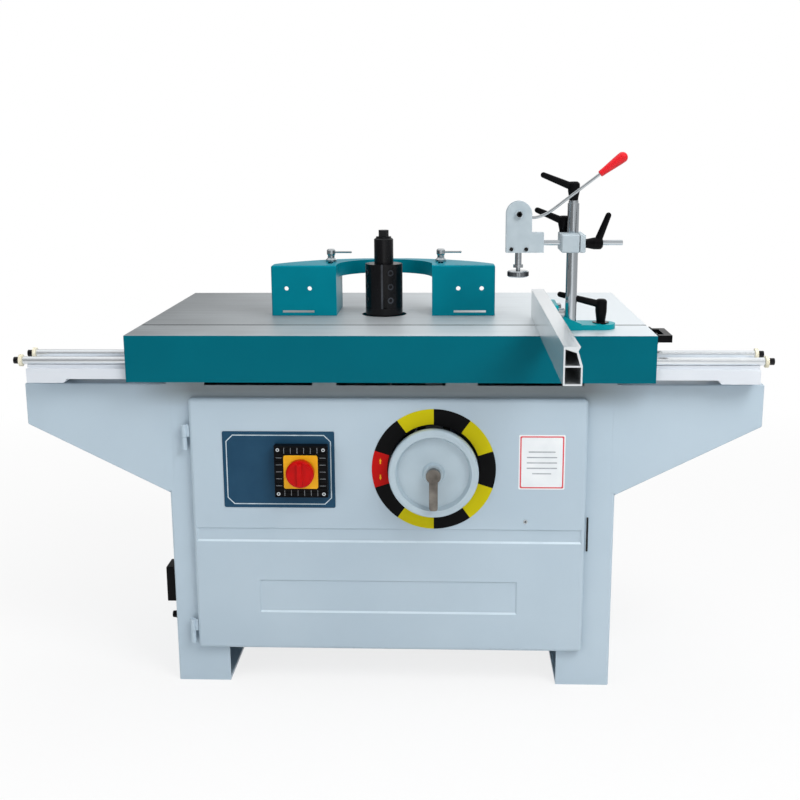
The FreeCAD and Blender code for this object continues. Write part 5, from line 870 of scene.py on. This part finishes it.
makeMouldedLevers(mouldedLevers)
makeWheelRim(wheelRim)
makeCamHandle(camHandle)
makeLeverWasher(leverWasher)
makeFootKnurl(footKnurl)
makeMotorFins(motorFins)
print("clamp, foot and motor details made")


# A node's own shape less some blocks
def hollowed(node, cutters, bevel=0):
    piece = copyOfNode(node)
    mesh = cutBy(piece, cutters)
    smooth(mesh)
    mesh.materials.clear()
    mesh.materials.append(finishes[dress[node][0]])
    if bevel:
        bevelled(piece, bevel)
    carry(piece, bodyOf[node], slotOf[node], node)
    remade.add(node)


railRelief = {"half": 0.757, "slant": 0.016, "rise": 0.019, "under": 0.002, "margin": 0.01, "bevel": 0.6}


# The rail beam stands on its ends only, so that a gap shows over the wings
def makeRailBeam(size):
    low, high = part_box("rail_beam")
    under, top = low.z - size["under"], low.z + size["rise"]
    half, inner = size["half"], size["half"] - size["slant"]
    shape = [(-half, under), (half, under), (half, low.z), (inner, top), (-inner, top), (-half, low.z)]
    deep = high.y - low.y + 2 * size["margin"]
    cutter = platePiece("railCutter", shape, high.y + size["margin"], deep, "railPaint")
    hollowed("rail_beam", [cutter], size["bevel"])


edgeGaps = {"spans": ((-0.433, -0.180), (-0.124, 0.129), (0.203, 0.447)), "deep": 0.009, "reach": 0.02,
            "over": 0.01}


# Low stretches in the front wall's top edge, under the sliding table
def makeEdgeGaps(size):
    low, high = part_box("cabinet_shell")
    back, thick = low.y + size["reach"], 2 * size["reach"]
    cutters = []
    for left, right in size["spans"]:
        shape = rectangle(left, right, high.z - size["deep"], high.z + size["over"])
        cutters.append(platePiece("edgeCutter", shape, back, thick, "cabinetPaint"))
    hollowed("cabinet_shell", cutters)


wingSeams = {"inside": 0.010, "outside": 0.008, "proud": 0.0002, "deep": 0.004, "margin": 0.005,
             "top": 0.0006, "bevel": 0.15}


# Filled joints, flush with the front, where the wings meet the cabinet
def makeWingSeams(size):
    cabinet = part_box("cabinet_shell")
    back, thick = cabinet[0].y + size["deep"], size["deep"] + size["proud"]
    for node, side in (("left_wing", -1), ("right_wing", 1)):
        low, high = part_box(node)
        edge = cabinet[1].x * side
        ends = sorted((edge - side * size["inside"], edge + side * size["outside"]))
        shape = rectangle(*ends, low.z + size["margin"], high.z - size["top"])
        seam = platePiece(camel(node) + "Seam", shape, back, thick, "cabinetPaint")
        carry(bevelled(seam, size["bevel"]), "cabinet", slotOf[node])


latchSlot = {"left": 0.4592, "right": 0.4686, "low": 0.340, "high": 0.430, "rim": 0.0022, "proud": 0.0014,
             "hollow": 0.0003, "steps": 6, "bevel": 0.4}


# A raised rim round the latch slot, with a black sheet inside it as painted shade of the slot's hollow
def makeLatchSlot(size):
    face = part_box("cabinet_shell")[0].y
    half = (size["right"] - size["left"]) / 2
    outline = cornered(*edgesOf(size), half, size["steps"])
    hole = cornered(*edgesOf(size, size["rim"]), half - size["rim"], size["steps"])
    rim = platePiece("latchRim", outline, face, size["proud"], "cabinetPaint", hole)
    carry(bevelled(rim, size["bevel"]), "cabinet", slotOf["cabinet_shell"])
    # painted shade: a thin black sheet where the slot's dark hollow would be
    carry(platePiece("latchShadeSheet", hole, face, size["hollow"], "beltRubber"), "cabinet", "black_plastic")


# Each pressing's insets from the door's sides, and its heights over the door's lower edge
doorShoulders = {"band": (0.008, 0.008, 0.274, 0.309), "panel": (0.154, 0.157, 0.095, 0.178), "deep": 0.003,
                 "foot": 0.0046, "sides": 0.0034, "head": 0.0026, "slope": 0.1}


# Sloping shoulders inside the door's two pressings, with a painted highlight on the lower slope, which faces up
def makeDoorShoulders(size):
    low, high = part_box("door_panel")
    front, back, side, slope = low.y, low.y + size["deep"], size["sides"], size["slope"]
    for name in ("band", "panel"):
        fromLeft, fromRight, under, over = size[name]
        left, right, foot, head = low.x + fromLeft, high.x - fromRight, low.z + under, low.z + over
        rim = rectangle(left, right, foot, head)
        floor = rectangle(left + side, right - side, foot + size["foot"], head - size["head"])
        form = bmesh.new()
        loops = [[form.verts.new((across, depth, up)) for across, up in corners]
                 for corners, depth in ((rim, front), (floor, back), (rim, back))]
        for first, second in zip(loops, loops[1:] + loops[:1]):
            bridge(form, first, second)
        bmesh.ops.recalc_face_normals(form, faces=form.faces)
        for face in form.faces:
            # faces that face forward and up take the second finish, a painted highlight
            face.material_index = int(face.normal.y < -slope and face.normal.z > slope)
        shoulder = formed(name + "Shoulder", form, "doorPaint", "rubbedPaint")
        carry(shoulder, "door", slotOf["door_panel"])


switchTicks = {"across": 6, "acrossPitch": 0.015456, "up": 5, "upPitch": 0.0168, "inset": 0.011,
               "deep": 0.014, "wide": 0.0006, "high": 0.0007}


# Fine pale marks round the switch, between its ribs
def makeSwitchTicks(size):
    low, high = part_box("switch_base")
    middle = (low + high) / 2
    upright, level, by = (0, math.radians(90), 0), (0, 0, 0), size["inset"]
    places = []
    for step in range(size["across"]):
        across = middle.x + (step - (size["across"] - 1) / 2) * size["acrossPitch"]
        places += [((across, low.y, up), upright) for up in (low.z + by, high.z - by)]
    for step in range(size["up"]):
        up = middle.z + (step - (size["up"] - 1) / 2) * size["upPitch"]
        places += [((across, low.y, up), level) for across in (low.x + by, high.x - by)]
    carry(bars.grow("switchTicks", places, size, "printGrey"), "door", "bright_steel")


makeRailBeam(railRelief)
makeEdgeGaps(edgeGaps)
makeWingSeams(wingSeams)
makeLatchSlot(latchSlot)
makeDoorShoulders(doorShoulders)
makeSwitchTicks(switchTicks)
print("rail, edges and door details made")
dressNodes()

# Ramps give where they start and end, then their levels there if not 0 and 1
stageLook = {"floorWide": 60, "floorCells": 8, "floorColour": (0.86, 0.86, 0.86, 1), "floorLift": (0.80, 1.0),
             "liftEnds": (0.9, 3.2), "dimLeft": (-0.9, -2.2, 0.0, 0.76), "dimRight": (2.6, 4.8, 0.0, 0.50),
             "diffuseSky": 0.39, "skyFront": (-0.6, 0.1, 0.62, 1.0), "skySide": (0.55, 0.95, 1.0, 0.25),
             "skyLeft": (-0.28, 0.14, 0.33, 1.0), "skyHigh": (0.50, 0.78)}


# A pale floor that keeps the shadow, and that metal sees darker to the sides
def makeFloor(look):
    mesh = bpy.data.meshes.new("studioFloor")
    form = bmesh.new()
    cells = look["floorCells"]
    bmesh.ops.create_grid(form, x_segments=cells, y_segments=cells, size=look["floorWide"] / 2)
    form.to_mesh(mesh)
    form.free()
    finish = Finish("studioFloor")
    across, along, _ = finish.axes()
    path = finish.node("ShaderNodeLightPath", {}, {}, "Is Camera Ray")
    glossy = path.out("Is Glossy Ray")
    seen = path.math("MAXIMUM", path, path.math("MAXIMUM", glossy, path.out("Is Transmission Ray")))
    dim = finish.ramp(across, *look["dimLeft"]) + finish.ramp(across, *look["dimRight"])
    plain = finish.node("ShaderNodeBsdfDiffuse", {}, {"Color": look["floorColour"]})
    lit = finish.node("ShaderNodeEmission", {}, {"Color": 1 - glossy * dim, "Strength": 1.0})
    reach = finish.ramp(across.math("SQRT", across * across + along * along), *look["liftEnds"])
    share = between(look["floorLift"], reach) * seen
    mixed = finish.node("ShaderNodeMixShader", {}, {0: share, 1: plain, 2: lit})
    finish.node("ShaderNodeOutputMaterial", {}, {"Surface": mixed}, None)
    mesh.materials.append(finish.material)
    addPiece("studioFloor", mesh)


# White to the camera, shaded where metal mirrors it, and even for the light it gives
def makeSky(look):
    world = bpy.data.worlds.new("studioSky")
    world.use_nodes = True
    bpy.context.scene.world = world
    sky = Tree(world.node_tree)
    path = sky.node("ShaderNodeLightPath", {}, {}, "Is Camera Ray")
    seen = path.math("MAXIMUM", path, path.out("Is Transmission Ray"))
    glossy = path.out("Is Glossy Ray") * (1 - seen)
    facing = sky.node("ShaderNodeTexCoord", {}, {}, "Generated")
    across = sky.node("ShaderNodeSeparateXYZ", {}, {"Vector": facing})
    front = sky.ramp(across.out("Y"), *look["skyFront"])
    side = sky.ramp(across.math("ABSOLUTE", across), *look["skySide"])
    left = sky.ramp(across, *look["skyLeft"])
    high = sky.ramp(across.out("Z"), *look["skyHigh"])
    shaded = front * side * (left + (1 - left) * high)
    level = seen + glossy * shaded + (1 - seen) * (1 - glossy) * look["diffuseSky"]
    glow = sky.node("ShaderNodeBackground", {}, {"Color": (1, 1, 1, 1), "Strength": level})
    sky.node("ShaderNodeOutputWorld", {}, {"Surface": glow}, None)


lamps = {
    "keyLamp": {"at": (1.9, -2.3, 3.4), "to": (0.1, 0, 0.7), "size": 1.9, "power": 100},
    "fillLamp": {"at": (-2.4, -2.4, 1.9), "to": (0, 0, 0.6), "size": 2.4, "power": 27},
    "topLamp": {"at": (0, 0.6, 3.4), "to": (0, 0, 0.8), "size": 2.6, "power": 44},
}


def makeLamps(rows):
    for name, row in rows.items():
        light = bpy.data.lights.new(name, "AREA")
        light.size = row["size"]
        light.energy = row["power"]
        lamp = bpy.data.objects.new(name, light)
        lamp.location = row["at"]
        lamp.rotation_euler = (Vector(row["to"]) - Vector(row["at"])).to_track_quat("-Z", "Y").to_euler()
        lamp.visible_glossy = False  # the sky gives the sheen
        bpy.context.scene.collection.objects.link(lamp)


# Angles in degrees
camera = {"at": (0.1373, -2.8961, 1.2922), "yaw": 2.5, "pitch": 12.6, "roll": -0.36, "focalPixels": 1152.6,
          "framePixels": 800, "sensor": 36}


def makeCamera(size):
    yaw, pitch, roll = (math.radians(size[key]) for key in ("yaw", "pitch", "roll"))
    ahead = Vector((-math.sin(yaw) * math.cos(pitch), math.cos(yaw) * math.cos(pitch), -math.sin(pitch)))
    level = Vector((math.cos(yaw), math.sin(yaw), 0))
    upward = level.cross(ahead)
    right = math.cos(roll) * level + math.sin(roll) * upward
    top = math.cos(roll) * upward - math.sin(roll) * level
    lens = bpy.data.cameras.new("photoCamera")
    lens.sensor_width = size["sensor"]
    lens.lens = size["focalPixels"] * size["sensor"] / size["framePixels"]
    viewer = bpy.data.objects.new("photoCamera", lens)
    viewer.matrix_world = Matrix((right, top, -ahead)).transposed().to_4x4()
    viewer.location = size["at"]
    bpy.context.scene.collection.objects.link(viewer)
    bpy.context.scene.camera = viewer


makeFloor(stageLook)
makeSky(stageLook)
makeLamps(lamps)
makeCamera(camera)
bpy.context.scene.view_settings.view_transform = "Standard"
print("stage, lamps and camera set")
